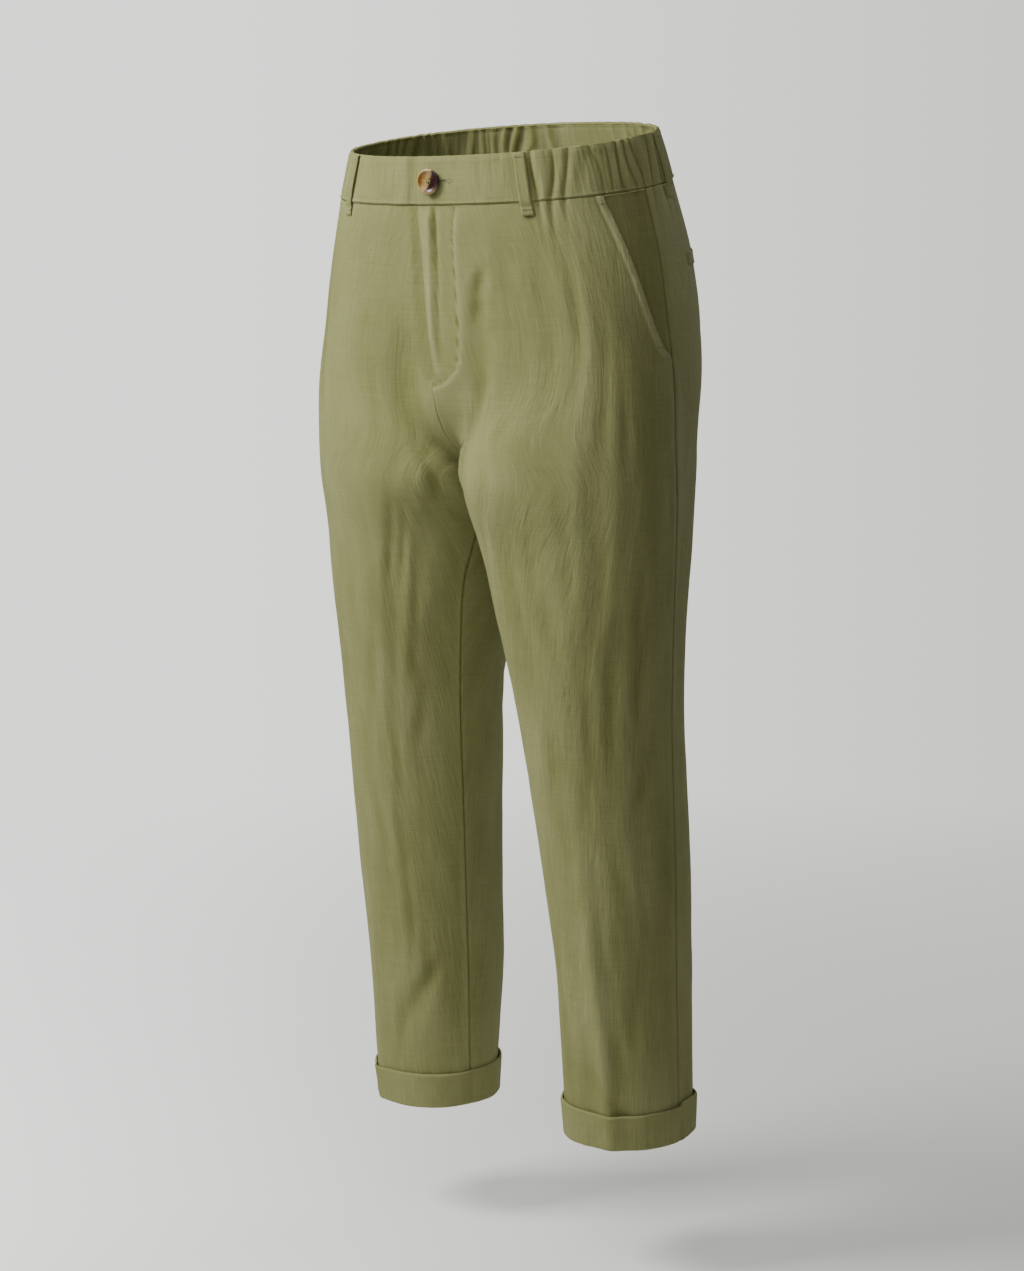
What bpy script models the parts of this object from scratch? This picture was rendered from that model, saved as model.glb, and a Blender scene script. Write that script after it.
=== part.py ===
# Linen chinos with an elastic back waist and turned-up hems, filled out as when worn.
# Metres. +Z is up, the front faces -Y and the wearer's left is +X. The origin is the centre of the
# waist opening, level with the band's top edge over the side seams.
# Every cloth piece is a sheet on one garment form: a place on a panel is (across, drop), with across 0
# at the side seam and 1 at the centre seam or inseam, and drop measured down from the band's top edge.

import math
from collections import namedtuple

import bpy
import numpy as np

for old in list(bpy.data.objects):
    bpy.data.objects.remove(old, do_unlink=True)

# ---- driving sizes
WALL = 0.0012            # cloth of the legs, pockets and turn-ups
BAND_WALL = 0.0030       # waistband, cloth doubled over its stiffening
LOOP_WALL = 0.0014
GAP = 0.0003             # between pieces that meet
BAND_HEIGHT = 0.047
BAND_PROUD = 0.0009      # band's face stands this far out of the panels' face
HEM = 0.945              # drop of the bottom fold
RIGHT_HANGS = 0.010      # the right leg ends this much lower
CROTCH = 0.308           # drop of the point where the four panels meet
FRONT_FORK = 0.235       # drops where the centre seams start to curve under
BACK_FORK = 0.210
BLEND_ABOVE = 0.065      # outside, torso turns into leg from this far above the fork
BLEND_BELOW = 0.055      # to this far below the crotch, past what it starts above the fork
CENTRED_TO = 0.060       # below the crotch, where the inseam has left the centre plane
SEAM_ABOVE = 3           # the higher, the less of a panel follows its centre seam: round the fly
SEAM_BELOW = 7           # and under the crotch
FLY_CLEAR = 0.020        # above the fork, where that starts to change
THIGHS_TOUCH = 0.008     # softness of the flat where the thighs meet
BACK_RISE = 0.16         # slope of the waist plane, higher at the back
RISE_FADES = 0.200
HEM_SLOPE = 0.05
HEM_SLOPE_FROM = 0.700
HEM_SLOPE_OVER = 0.200
THIGH_END = 0.420        # drop below which the leg's rows are further apart

FLY_END = 0.228          # drop where the fly's overlap ends
LAP_END = FLY_END - 0.014        # the overlap tapers off from here
SINK_END = FLY_END - 0.008       # and the under layer comes back to the surface from here
FLY_OVERLAP = 0.0062     # left front laps past the centre line at the band
FLY_OVERLAP_END = 0.002
FLY_UNDERLAP = 0.012     # right front runs on under it
FLY_STEP = 0.010         # width of its step down, and how far that ends before the upper edge
FLY_STEP_CLEAR = 0.002
BAND_OVERLAP = 0.0066
BAND_UNDERLAP = 0.026
POCKET_TOP = 0.245       # across where the slant pocket meets the band
POCKET_END = 0.197       # drop where it meets the side seam
POCKET_CURVE = 0.75
FACING_LAP = 0.055       # facing runs on under the front, as a share of the panel
ELASTIC_FROM = 37.5      # degrees round from the front, under the front belt loops
SIDE_LOOP = 107.0        # degrees round to the loops behind the side seams
LOOP_WIDTH = 0.0115
LOOP_TOP = 0.0012        # drops of its two ends
LOOP_END = 0.060
LOOP_BOW = 0.0016        # stands off the band by this much halfway
WELT_HEIGHT = 0.013
WELT_DROP = 0.107
WELT_ACROSS = (0.19, 0.62)
WELT_WALL = 0.0022
CUFF_HEIGHT = 0.036
LEG_EDGE = 0.0045        # leg panels stop this far above the bottom fold, where the turn-up starts
CUFF_STAND = 0.0036      # turn-up's face stands this far out of the leg
BUTTON_RADIUS = 0.0118
BUTTON_OFFSET = 0.014    # to the left of the centre line
BUTTON_SEAT = 0.0036     # its back stands off the band on a thread shank
BUTTON_LEAN = 5.0        # degrees that its face looks up, and turns to the left
BUTTON_TILT = 15.0
HOLE_AWAY = 0.0017
HOLE_RADIUS = 0.0009

# ---- sections of the form; a row for each level
Torso = namedtuple("Torso", "drop half front back square_front square_back side")
TORSO = [
    Torso(0.000, 0.162, 0.106, 0.114, 2.15, 2.15, 90.5),
    Torso(0.048, 0.176, 0.107, 0.127, 2.20, 2.20, 91.0),
    Torso(0.110, 0.192, 0.103, 0.141, 2.35, 2.30, 91.5),
    Torso(0.180, 0.203, 0.098, 0.147, 2.50, 2.35, 91.5),
    Torso(0.240, 0.210, 0.090, 0.152, 2.60, 2.40, 91.0),
    Torso(0.305, 0.213, 0.078, 0.159, 2.60, 2.40, 90.0),
]
# centre x and y, reach out, in, to the front and back, degrees from the front to the outer and
# inner seams, and how far the section is turned out
Leg = namedtuple("Leg", "drop x y out inn front back outer inner turn square")
LEG = [
    Leg(0.180, 0.092, -0.022, 0.114, 0.120, 0.100, 0.154, 90, 104, 22.0, 2.60),
    Leg(0.305, 0.097, -0.014, 0.109, 0.106, 0.085, 0.140, 90, 104, 20.0, 2.60),
    Leg(0.370, 0.104, -0.003, 0.098, 0.092, 0.082, 0.114, 89, 94, 17.5, 2.50),
    Leg(0.450, 0.108, 0.008, 0.088, 0.084, 0.086, 0.086, 86, 87, 16.5, 2.30),
    Leg(0.560, 0.114, 0.021, 0.076, 0.074, 0.084, 0.068, 84, 84, 14.5, 2.15),
    Leg(0.700, 0.122, 0.033, 0.068, 0.067, 0.075, 0.068, 84, 84, 10.5, 2.10),
    Leg(0.800, 0.124, 0.042, 0.062, 0.061, 0.071, 0.067, 84, 84, 9.5, 2.10),
    Leg(0.880, 0.126, 0.044, 0.061, 0.061, 0.065, 0.061, 84, 84, 9.0, 2.10),
    Leg(0.945, 0.127, 0.045, 0.060, 0.061, 0.060, 0.057, 84, 84, 8.5, 2.10),
]
# largest folds; a ridge where depth is positive and a trough where it is negative. They run from
# (across, drop) to (across, drop), and width is the distance over which they fade to a third.
Fold = namedtuple("Fold", "panel side a0 d0 a1 d1 width depth")
FOLDS = [
    Fold("front", -1, 0.93, 0.150, 0.90, 0.300, 0.014, -0.0045),
    Fold("front", -1, 0.72, 0.320, 0.73, 0.520, 0.013, -0.0030),
    Fold("front", -1, 0.90, 0.360, 0.88, 0.460, 0.012, 0.0025),
    Fold("front", 1, 0.84, 0.115, 0.87, 0.260, 0.012, -0.0035),
    Fold("front", 1, 0.34, 0.280, 0.36, 0.460, 0.014, -0.0030),
    Fold("front", 1, 0.62, 0.330, 0.58, 0.520, 0.015, -0.0022),
    Fold("front", 1, 0.50, 0.640, 0.40, 0.905, 0.014, 0.0030),
    Fold("front", -1, 0.48, 0.660, 0.42, 0.905, 0.014, 0.0026),
    Fold("front", 1, 0.62, 0.860, 0.28, 0.925, 0.011, -0.0026),
    Fold("front", -1, 0.88, 0.790, 0.56, 0.880, 0.011, -0.0028),
    Fold("back", 1, 0.55, 0.270, 0.42, 0.460, 0.018, -0.0045),
    Fold("back", -1, 0.60, 0.260, 0.45, 0.440, 0.018, -0.0045),
    Fold("back", 1, 0.72, 0.560, 0.34, 0.640, 0.014, -0.0030),
    Fold("back", -1, 0.66, 0.540, 0.30, 0.650, 0.014, -0.0030),
    Fold("back", 1, 0.35, 0.850, 0.72, 0.915, 0.012, -0.0026),
    Fold("back", -1, 0.30, 0.860, 0.66, 0.910, 0.012, -0.0026),
]
GATHERS = 24             # folds that the elastic draws up between the front loops, round the back
GATHER_DEPTH = 0.0015
GATHERS_FROM = 2.5       # degrees from the elastic's ends where the folds begin, and swell over
GATHERS_OVER = 6.0
BAND_SEAM = 0.07         # degrees, half the gap between the band's pieces
BAND_STEP = 3.5          # degrees over which the right band steps down under the left
BAND_STEP_CLEAR = 1.0    # and how far that ends before the left band's edge
BAND_CLEAR = 0.0003      # and the extra room it leaves there
CUFF_FLARE = 0.0006      # turn-up's top edge stands off this much more
SIDE_NAMES = {1: "left", -1: "right"}
STEP_ACROSS = 1e-3       # steps of the finite differences that give a face's direction
STEP_DROP = 5e-4
CLOSER_AT_SIDE = 1.35    # the front's columns crowd towards the pocket
SEAM_CROWDING = 0.05
SEAM_ACROSS = 0.5 * GAP / 0.180      # half a gap, as a share of the narrowest panel's width


def smooth(t):
    t = np.clip(t, 0.0, 1.0)
    return t * t * (3.0 - 2.0 * t)


def at(table, column, drop):
    # a monotone cubic through a table's column, read at each drop
    x = np.array([row.drop for row in table])
    y = np.array([getattr(row, column) for row in table], dtype=float)
    step = np.diff(x)
    slope = np.diff(y) / step
    tangent = np.zeros_like(y)
    tangent[0], tangent[-1] = slope[0], slope[-1]
    for i in range(1, len(x) - 1):
        if slope[i - 1] * slope[i] > 0.0:
            before = 2.0 * step[i] + step[i - 1]
            after = step[i] + 2.0 * step[i - 1]
            tangent[i] = (before + after) / (before / slope[i - 1] + after / slope[i])
    drop = np.clip(drop, x[0], x[-1])
    i = np.clip(np.searchsorted(x, drop) - 1, 0, len(x) - 2)
    t = (drop - x[i]) / step[i]
    return ((1 + 2 * t) * (1 - t) ** 2 * y[i] + t * (1 - t) ** 2 * step[i] * tangent[i]
            + t * t * (3 - 2 * t) * y[i + 1] + t * t * (t - 1) * step[i] * tangent[i + 1])


def lobe(degrees, left, right, front, back, square_front, square_back):
    # a superellipse with its own reach each way; degrees run from the front towards the left
    sine, cosine = np.sin(np.radians(degrees)), np.cos(np.radians(degrees))
    power = 2.0 / np.where(cosine > 0, square_front, square_back)
    x = np.where(sine > 0, left, -right) * np.abs(sine) ** power
    y = np.where(cosine > 0, -front, back) * np.abs(cosine) ** power
    return x, y


def blended(panel, across, drop):
    # the torso section turns into the leg section round the curve of the crotch
    side = at(TORSO, "side", drop)
    degrees = side * (1 - across) if panel == "front" else side + (180 - side) * across
    half = at(TORSO, "half", drop)
    body_x, body_y = lobe(degrees, half, half, at(TORSO, "front", drop), at(TORSO, "back", drop),
                          at(TORSO, "square_front", drop), at(TORSO, "square_back", drop))
    outer, inner = at(LEG, "outer", drop), at(LEG, "inner", drop)
    sweep = -(outer + inner) if panel == "front" else 360 - outer - inner
    square = at(LEG, "square", drop)
    x, y = lobe(outer + sweep * across, at(LEG, "out", drop), at(LEG, "inn", drop),
                at(LEG, "front", drop), at(LEG, "back", drop), square, square)
    turn = np.radians(at(LEG, "turn", drop))
    leg_x = at(LEG, "x", drop) + x * np.cos(turn) - y * np.sin(turn)
    leg_y = at(LEG, "y", drop) + x * np.sin(turn) + y * np.cos(turn)
    leg_x = 0.5 * (leg_x + np.sqrt(leg_x ** 2 + THIGHS_TOUCH ** 2))     # they lie side by side
    fork = FRONT_FORK if panel == "front" else BACK_FORK
    round_under = np.clip((drop - fork) / (CROTCH - fork), 0, 1) * math.pi / 2
    beside = SEAM_ABOVE + (SEAM_BELOW - SEAM_ABOVE) * smooth((drop - fork + FLY_CLEAR) / (CROTCH - fork))
    inward = np.clip(across, 0, 1) ** beside
    share_in = 1 - np.cos(round_under)
    share_out = smooth((drop - fork + BLEND_ABOVE) / (CROTCH + BLEND_BELOW + BLEND_ABOVE - fork))
    share = inward * share_in + (1 - inward) * share_out
    x = body_x * (1 - share) + leg_x * share
    y = body_y * (1 - share) + leg_y * share
    seam_z = np.where(drop < fork, -drop, -fork - (CROTCH - fork) * np.sin(round_under))
    seam_z = np.where(drop > CROTCH, -drop, seam_z)
    z = -drop * (1 - inward) + seam_z * inward
    z = z + BACK_RISE * (1 - smooth(drop / RISE_FADES)) * y
    hem_share = smooth((drop - HEM_SLOPE_FROM) / HEM_SLOPE_OVER)
    return x, y, z + HEM_SLOPE * hem_share * (y - at(LEG, "y", drop))


def form(panel, side, across, drop):
    # the garment's outer face with no folds; side is +1 for the wearer's left and -1 for the right
    x, y, z = blended(panel, across, drop)
    centre_x = blended(panel, np.ones_like(across), np.minimum(drop, CROTCH))[0]
    x = x - centre_x * np.clip(across, 0, 1) ** 3 * (1 - smooth((drop - CROTCH) / CENTRED_TO))
    if side < 0:
        z = z - RIGHT_HANGS * smooth((drop - THIGH_END) / (HEM - THIGH_END))
    return np.stack([side * x, y, z], -1)


def panel_width(panel, drop):
    across = np.linspace(0.0, 1.0, 25)
    line = form(panel, 1, across, np.full_like(across, drop))
    return np.linalg.norm(np.diff(line, axis=0), axis=1).sum()


def fold_height(panel, side, across, drop):
    height = np.zeros_like(across)
    for fold in FOLDS:
        if fold.panel != panel or fold.side != side:
            continue
        width = panel_width(panel, 0.5 * (fold.d0 + fold.d1))
        run = np.array([(fold.a1 - fold.a0) * width, fold.d1 - fold.d0])
        length = np.linalg.norm(run)
        away = np.stack([(across - fold.a0) * width, drop - fold.d0], -1)
        along = away @ run / length ** 2
        beside = (away[..., 0] * run[1] - away[..., 1] * run[0]) / length
        fade = smooth(1.8 * along + 0.25) * smooth(1.8 * (1 - along) + 0.25)
        height += fold.depth * np.exp(-(beside / fold.width) ** 2) * fade
    return height


def outward(panel, side, across, drop):
    # unit direction out of the cloth, from the form's own slopes
    along_a = form(panel, side, across + STEP_ACROSS, drop) - form(panel, side, across - STEP_ACROSS, drop)
    high = np.clip(drop - STEP_DROP, 0.0, HEM)
    low = np.clip(drop + STEP_DROP, 0.0, HEM)
    along_d = form(panel, side, across, low) - form(panel, side, across, high)
    direction = np.cross(along_a, along_d) * (side if panel == "front" else -side)
    return direction / np.linalg.norm(direction, axis=-1, keepdims=True)


def cloth(panel, side, across, drop, stand=0.0):
    # points on the outer face, moved out by stand
    across, drop, stand = np.broadcast_arrays(
        np.asarray(across, float), np.asarray(drop, float), np.asarray(stand, float))
    lift = stand + fold_height(panel, side, across, drop)
    return form(panel, side, across, drop) + outward(panel, side, across, drop) * lift[..., None]


# ---- materials and objects
def material(name, colour, roughness, metallic=0.0):
    made = bpy.data.materials.new(name)
    made.use_nodes = True
    shader = made.node_tree.nodes["Principled BSDF"]
    shader.inputs["Base Color"].default_value = (*colour, 1.0)
    shader.inputs["Roughness"].default_value = roughness
    shader.inputs["Metallic"].default_value = metallic
    return made


LINEN = material("olive linen", (0.250, 0.235, 0.120), 0.85)
HORN = material("brown horn button", (0.130, 0.060, 0.025), 0.30)

chinos = bpy.data.collections.new("chinos")
cutters = bpy.data.collections.new("cutters")
bpy.context.scene.collection.children.link(chinos)
bpy.context.scene.collection.children.link(cutters)


def sheet(name, points, flip, wall, ring=False):
    # a grid of points (rows, columns, xyz) as an open surface, thickened inwards by Solidify
    rows, columns = points.shape[:2]
    index = np.arange(rows * columns).reshape(rows, columns)
    after = np.roll(index, -1, axis=1) if ring else index[:, 1:]
    before = index if ring else index[:, :-1]
    faces = np.stack([before[:-1], after[:-1], after[1:], before[1:]], -1).reshape(-1, 4)
    if flip:
        faces = faces[:, [0, 3, 2, 1]]
    mesh = bpy.data.meshes.new(name)
    mesh.from_pydata(points.reshape(-1, 3).tolist(), [], faces.tolist())
    mesh.materials.append(LINEN)
    mesh.shade_smooth()
    piece = bpy.data.objects.new(name, mesh)
    chinos.objects.link(piece)
    solidify = piece.modifiers.new("wall", "SOLIDIFY")
    solidify.thickness = wall
    solidify.offset = -1.0
    return piece


def faces_in(panel, side):
    # a grid of rows down and columns towards the centre faces inwards here
    return (panel == "front") != (side > 0)


def panel_rows(top):
    return np.concatenate([np.linspace(top, POCKET_END, 7), [LAP_END, SINK_END, FLY_END],
                           np.linspace(FRONT_FORK, CROTCH, 6),
                           np.linspace(CROTCH, THIGH_END, 4)[1:],
                           np.linspace(THIGH_END, HEM - LEG_EDGE - GAP, 9)[1:]])


def shares(count):
    # 0 to 1, a little closer at both ends so that neighbouring panels meet at a flat angle
    t = np.linspace(0.0, 1.0, count)[None, :]
    return t - SEAM_CROWDING * np.sin(2 * math.pi * t)


def pocket_line(drop):
    left = np.clip((POCKET_END - drop) / (POCKET_END - BAND_HEIGHT), 0, 1)
    return POCKET_TOP * left ** POCKET_CURVE


def across_at(x, drop):
    # where the front reaches x beside the centre line, above the fork; x below 0 is past it
    half, square = at(TORSO, "half", drop), at(TORSO, "square_front", drop)
    degrees = np.degrees(np.arcsin((np.abs(x) / half) ** (0.5 * square)))
    return 1.0 - np.sign(x) * degrees / at(TORSO, "side", drop)


def front_panel(side):
    drop = panel_rows(BAND_HEIGHT + GAP)[:, None]
    in_lap = np.interp(drop, [LAP_END, SINK_END], [1.0, 0.0])
    in_sink = np.interp(drop, [SINK_END, FLY_END], [1.0, 0.0])
    if side > 0:
        lap = np.interp(drop, [BAND_HEIGHT, LAP_END], [FLY_OVERLAP, FLY_OVERLAP_END])
    else:
        lap = FLY_UNDERLAP
    # columns: as far as the fly's step, then one each for its foot, the middle and the edge
    edge = across_at(0.5 * GAP - in_lap * (lap + 0.5 * GAP), drop)
    foot = across_at(FLY_OVERLAP + FLY_STEP_CLEAR, drop)
    head = across_at(FLY_OVERLAP + FLY_STEP_CLEAR + FLY_STEP, drop)
    start = pocket_line(drop) + SEAM_ACROSS
    across = start + (head - start) * np.linspace(0.0, 1.0, 11)[None, :] ** CLOSER_AT_SIDE
    across = np.concatenate([across, foot, 0.5 * (foot + edge), edge], axis=1)
    # and even in the leg
    even = start + (edge - start) * shares(across.shape[1])
    across = across + (even - across) * smooth((drop - FLY_END) / (CROTCH - FLY_END))
    sunk = np.zeros_like(across)
    if side < 0:
        # the underlap runs a wall and a gap behind the left front
        sunk[:, -3:] = -(WALL + 2 * GAP) * in_sink
    points = cloth("front", side, across, drop, sunk)
    keep = side * np.maximum(side * points[..., 0], 0.5 * GAP)
    points[..., 0] = np.where((in_lap > 0) & (across > 1.0), points[..., 0], keep)
    return sheet(f"front_{SIDE_NAMES[side]}", points, faces_in("front", side), WALL)


def back_panel(side):
    drop = panel_rows(BAND_HEIGHT + GAP)[:, None]
    points = cloth("back", side, SEAM_ACROSS + (1.0 - 2.0 * SEAM_ACROSS) * shares(14), drop)
    points[..., 0] = side * np.maximum(side * points[..., 0], 0.5 * GAP)
    return sheet(f"back_{SIDE_NAMES[side]}", points, faces_in("back", side), WALL)


def pocket_facing(side):
    drop = np.append(np.linspace(BAND_HEIGHT + GAP, POCKET_END, 7), LAP_END)[:, None]
    share = np.linspace(0.0, 1.0, 6)[None, :]
    start = SEAM_ACROSS
    across = start + (pocket_line(drop) + FACING_LAP - start) * share
    points = cloth("front", side, across, drop, -(WALL + 4 * GAP))
    return sheet(f"pocket_facing_{SIDE_NAMES[side]}", points, faces_in("front", side), WALL)


def around(degrees, drop, stand):
    # the same form, read by its angle round the waist from the front, positive to the left
    turn = (np.asarray(degrees, float) + 180.0) % 360.0 - 180.0
    side = np.where(turn < 0, -1, 1)
    turn, drop, stand, side = np.broadcast_arrays(np.abs(turn), drop, stand, side)
    seam = at(TORSO, "side", drop)
    points = np.zeros(turn.shape + (3,))
    for panel in ("front", "back"):
        for sign in (1, -1):
            here = (side == sign) & ((turn < seam) == (panel == "front"))
            if panel == "front":
                across = 1 - turn / seam
            else:
                across = (turn - seam) / (180 - seam)
            points[here] = (form(panel, sign, across, drop)
                            + outward(panel, sign, across, drop) * stand[..., None])[here]
    return points


def band_degrees(x):
    # angle round the waist at which the band's front crosses a given x
    return 90.0 * (1.0 - across_at(x, 0.5 * BAND_HEIGHT))


def gathers(degrees):
    # uneven waves: the spacing swells and shrinks, and so does the height
    phase = GATHERS * (degrees - ELASTIC_FROM) / (360 - 2 * ELASTIC_FROM)
    uneven = phase + 0.32 * np.sin(1.9 * phase) + 0.21 * np.sin(0.83 * phase + 1.0)
    swell = 0.75 + 0.25 * np.sin(1.37 * phase + 0.6)
    from_end = np.minimum(degrees - ELASTIC_FROM, 360 - ELASTIC_FROM - degrees)
    return GATHER_DEPTH * swell * smooth((from_end - GATHERS_FROM) / GATHERS_OVER) * np.cos(2 * math.pi * uneven)


def band_front(side):
    last = ELASTIC_FROM - BAND_SEAM
    if side > 0:
        start = band_degrees(-BAND_OVERLAP)
    else:
        start = -band_degrees(BAND_UNDERLAP)
    degrees = np.linspace(start, last, 13)[None, :]
    drop = np.linspace(0.0, BAND_HEIGHT, 3)[:, None]
    stand = BAND_PROUD
    if side < 0:
        past = band_degrees(BAND_OVERLAP) + BAND_STEP_CLEAR + BAND_STEP - degrees
        stand = BAND_PROUD - (BAND_WALL + GAP + BAND_CLEAR) * smooth(past / BAND_STEP)
    points = around(side * degrees, drop, stand)
    return sheet(f"waistband_{SIDE_NAMES[side]}", points, side > 0, BAND_WALL)


def band_back():
    first = ELASTIC_FROM + BAND_SEAM
    degrees = np.linspace(first, 360 - first, 4 * GATHERS + 1)[None, :]
    drop = np.linspace(0.0, BAND_HEIGHT, 3)[:, None]
    points = around(degrees, drop, BAND_PROUD + gathers(degrees))
    return sheet("waistband_back", points, True, BAND_WALL)


def belt_loop(name, degrees):
    # a strip sewn down at both ends, standing a little off the band between them
    drop = np.linspace(LOOP_TOP, LOOP_END, 9)[:, None]
    sides = around(degrees + np.array([-1.5, 1.5]), 0.5 * BAND_HEIGHT, BAND_PROUD)
    half = 1.5 * LOOP_WIDTH / np.linalg.norm(sides[1] - sides[0])
    turn = degrees + np.array([[-half, half]])
    share = (drop - drop[0]) / (drop[-1] - drop[0])
    below = smooth((drop - BAND_HEIGHT) / (0.7 * (LOOP_END - BAND_HEIGHT)))
    base = (BAND_PROUD + GATHER_DEPTH + GAP) * (1 - below) + 2 * GAP * below
    stand = base + GAP + LOOP_WALL + LOOP_BOW * np.sin(math.pi * share) ** 2
    return sheet(name, around(turn, drop, stand), True, LOOP_WALL)


def back_welt(side):
    drop = np.linspace(WELT_DROP, WELT_DROP + WELT_HEIGHT, 3)[:, None]
    across = np.linspace(*WELT_ACROSS, 9)[None, :]
    points = cloth("back", side, across, drop, WELT_WALL + GAP)
    return sheet(f"back_welt_{SIDE_NAMES[side]}", points, faces_in("back", side), WELT_WALL)


def cuff(side):
    # the hem turned up outside: from the leg's edge down, round the bottom fold and up the outside
    share = np.linspace(0.0, 1.0, 10)[:-1]
    ring = [("front", a) for a in share] + [("back", 1 - a) for a in share]
    radius = 0.5 * (CUFF_STAND + WALL)
    middle = 0.5 * (CUFF_STAND - WALL)
    turn = np.radians(np.linspace(180, 360, 5))
    stand = np.concatenate([[-WALL], middle + radius * np.cos(turn), [CUFF_STAND, CUFF_STAND]])
    up = np.concatenate([[LEG_EDGE], radius * (1 + np.sin(turn)), [0.5 * CUFF_HEIGHT, CUFF_HEIGHT]])
    stand[-1] += CUFF_FLARE
    points = np.zeros((len(stand), len(ring), 3))
    for column, (panel, across) in enumerate(ring):
        across = np.full(len(stand), across)
        points[:, column] = cloth(panel, side, across, HEM - up, stand)
    return sheet(f"cuff_{SIDE_NAMES[side]}", points, side > 0, WALL, ring=True)


def turned(name, profile, segments, look):
    # a profile of (radius, height) from the top of the axis down the outer side, spun by Screw
    mesh = bpy.data.meshes.new(name)
    points = [(radius, 0.0, height) for radius, height in profile]
    mesh.from_pydata(points, [(i, i + 1) for i in range(len(points) - 1)], [])
    mesh.materials.append(look)
    piece = bpy.data.objects.new(name, mesh)
    screw = piece.modifiers.new("spin", "SCREW")
    screw.steps = segments
    screw.render_steps = segments
    screw.use_merge_vertices = True
    screw.merge_threshold = 0.00001
    return piece


def button():
    rim = BUTTON_RADIUS
    profile = [(0.0, 0.0024), (0.0058, 0.0024), (0.0074, 0.0036), (0.0100, 0.0037),
               (rim - 0.0004, 0.0027), (rim, 0.0017), (rim - 0.0022, 0.0004), (0.0070, 0.0), (0.0, 0.0)]
    piece = turned("button", profile, 20, HORN)
    chinos.objects.link(piece)
    for x in (-1, 1):
        for y in (-1, 1):
            bpy.ops.mesh.primitive_cylinder_add(vertices=6, radius=HOLE_RADIUS, depth=0.010,
                                                location=(HOLE_AWAY * x, HOLE_AWAY * y, 0.0))
            hole = bpy.context.object
            hole.name = f"cut_hole_{x}_{y}"
            for owner in list(hole.users_collection):
                owner.objects.unlink(hole)
            cutters.objects.link(hole)
            hole.hide_render = True
            hole.display_type = "WIRE"
            hole.parent = piece
            cut = piece.modifiers.new("hole", "BOOLEAN")
            cut.operation = "DIFFERENCE"
            cut.object = hole
    seat = around(band_degrees(BUTTON_OFFSET), 0.5 * BAND_HEIGHT, BAND_PROUD + BUTTON_SEAT)
    piece.location = seat.reshape(3)
    piece.rotation_euler = (math.radians(90 + BUTTON_LEAN), 0.0, math.radians(BUTTON_TILT))
    return piece


for sign in (1, -1):
    front_panel(sign)
    back_panel(sign)
    pocket_facing(sign)
    band_front(sign)
    back_welt(sign)
    cuff(sign)
    belt_loop(f"belt_loop_front_{SIDE_NAMES[sign]}", sign * ELASTIC_FROM)
    belt_loop(f"belt_loop_side_{SIDE_NAMES[sign]}", sign * SIDE_LOOP)
belt_loop("belt_loop_back", 180.0)
band_back()
button()
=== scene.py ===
# Olive linen chinos, filled out as when worn. Metres: +Z up, the front to -Y, the wearer's left to +X.
# Every cloth piece is a fine sheet on one garment form. A place on a panel is (across, drop): across is 0
# at the side seam and 1 at the centre seam or inseam, drop runs down from the band's top edge.
import math
import bpy
import numpy as np
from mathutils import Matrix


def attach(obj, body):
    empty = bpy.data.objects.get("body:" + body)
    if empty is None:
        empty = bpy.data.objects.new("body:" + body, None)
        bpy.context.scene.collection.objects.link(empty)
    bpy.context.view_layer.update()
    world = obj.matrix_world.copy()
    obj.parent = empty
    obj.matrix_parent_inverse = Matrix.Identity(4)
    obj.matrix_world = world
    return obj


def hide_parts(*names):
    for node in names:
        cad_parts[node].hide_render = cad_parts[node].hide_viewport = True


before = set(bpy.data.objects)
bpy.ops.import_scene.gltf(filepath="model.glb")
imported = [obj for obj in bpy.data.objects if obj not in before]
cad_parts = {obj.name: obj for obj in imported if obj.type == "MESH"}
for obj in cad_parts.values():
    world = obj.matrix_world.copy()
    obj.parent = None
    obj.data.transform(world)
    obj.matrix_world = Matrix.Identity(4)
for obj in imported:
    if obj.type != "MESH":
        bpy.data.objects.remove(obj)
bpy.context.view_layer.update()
print("frame loaded:", len(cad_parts), "nodes")

# the camera: before the left front, level with the thighs
cameraSetup = dict(azimuth=42.6, distance=2.900, aside=0.0109, height=-0.060, pitch=-8.07, lens=86.25)
turn = math.radians(cameraSetup["azimuth"])
camera = bpy.data.objects.new("camera", bpy.data.cameras.new("camera"))
bpy.context.scene.collection.objects.link(camera)
camera.data.lens = cameraSetup["lens"]
camera.data.sensor_width = 36.0
camera.location = (cameraSetup["distance"] * math.sin(turn) + cameraSetup["aside"] * math.cos(turn),
                   -cameraSetup["distance"] * math.cos(turn) + cameraSetup["aside"] * math.sin(turn),
                   cameraSetup["height"])
camera.rotation_euler = (math.radians(90 + cameraSetup["pitch"]), 0.0, turn)
bpy.context.scene.camera = camera

# the garment's sizes
garment = dict(wall=0.0012, bandWall=0.0030, gap=0.0003, seamGap=0.00006, bandHeight=0.047, bandProud=0.0009,
               hem=0.945, legEdge=0.0045, rightHangs=0.010, crotch=0.308, frontFork=0.235, backFork=0.210,
               blendAbove=0.065, blendBelow=0.055, seamAbove=3, seamBelow=7, flyClear=0.020, corner=0.22,
               seamOnly=30, centredTo=0.060, thighsTouch=0.008, backRise=0.16, riseFades=0.200,
               hemSlope=0.05, hemSlopeFrom=0.700, hemSlopeOver=0.200, thighEnd=0.420)
fly = dict(end=0.228, lapEnd=0.214, sinkEnd=0.220, overlap=0.0062, overlapEnd=0.002, underlap=0.012,
           step=0.010, stepClear=0.002, extraSink=0.0004, centreSink=0.0050, centreOver=0.008,
           freeTo=0.205, freeFades=0.020)
pocket = dict(top=0.245, end=0.197, curve=0.75, facingLap=0.055, facingBelow=0.016, hemWidth=0.0095,
              hemRise=0.0011, dimple=0.00050, dimplePitch=0.0085, gape=0.0019, gapeReach=0.022)
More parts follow.
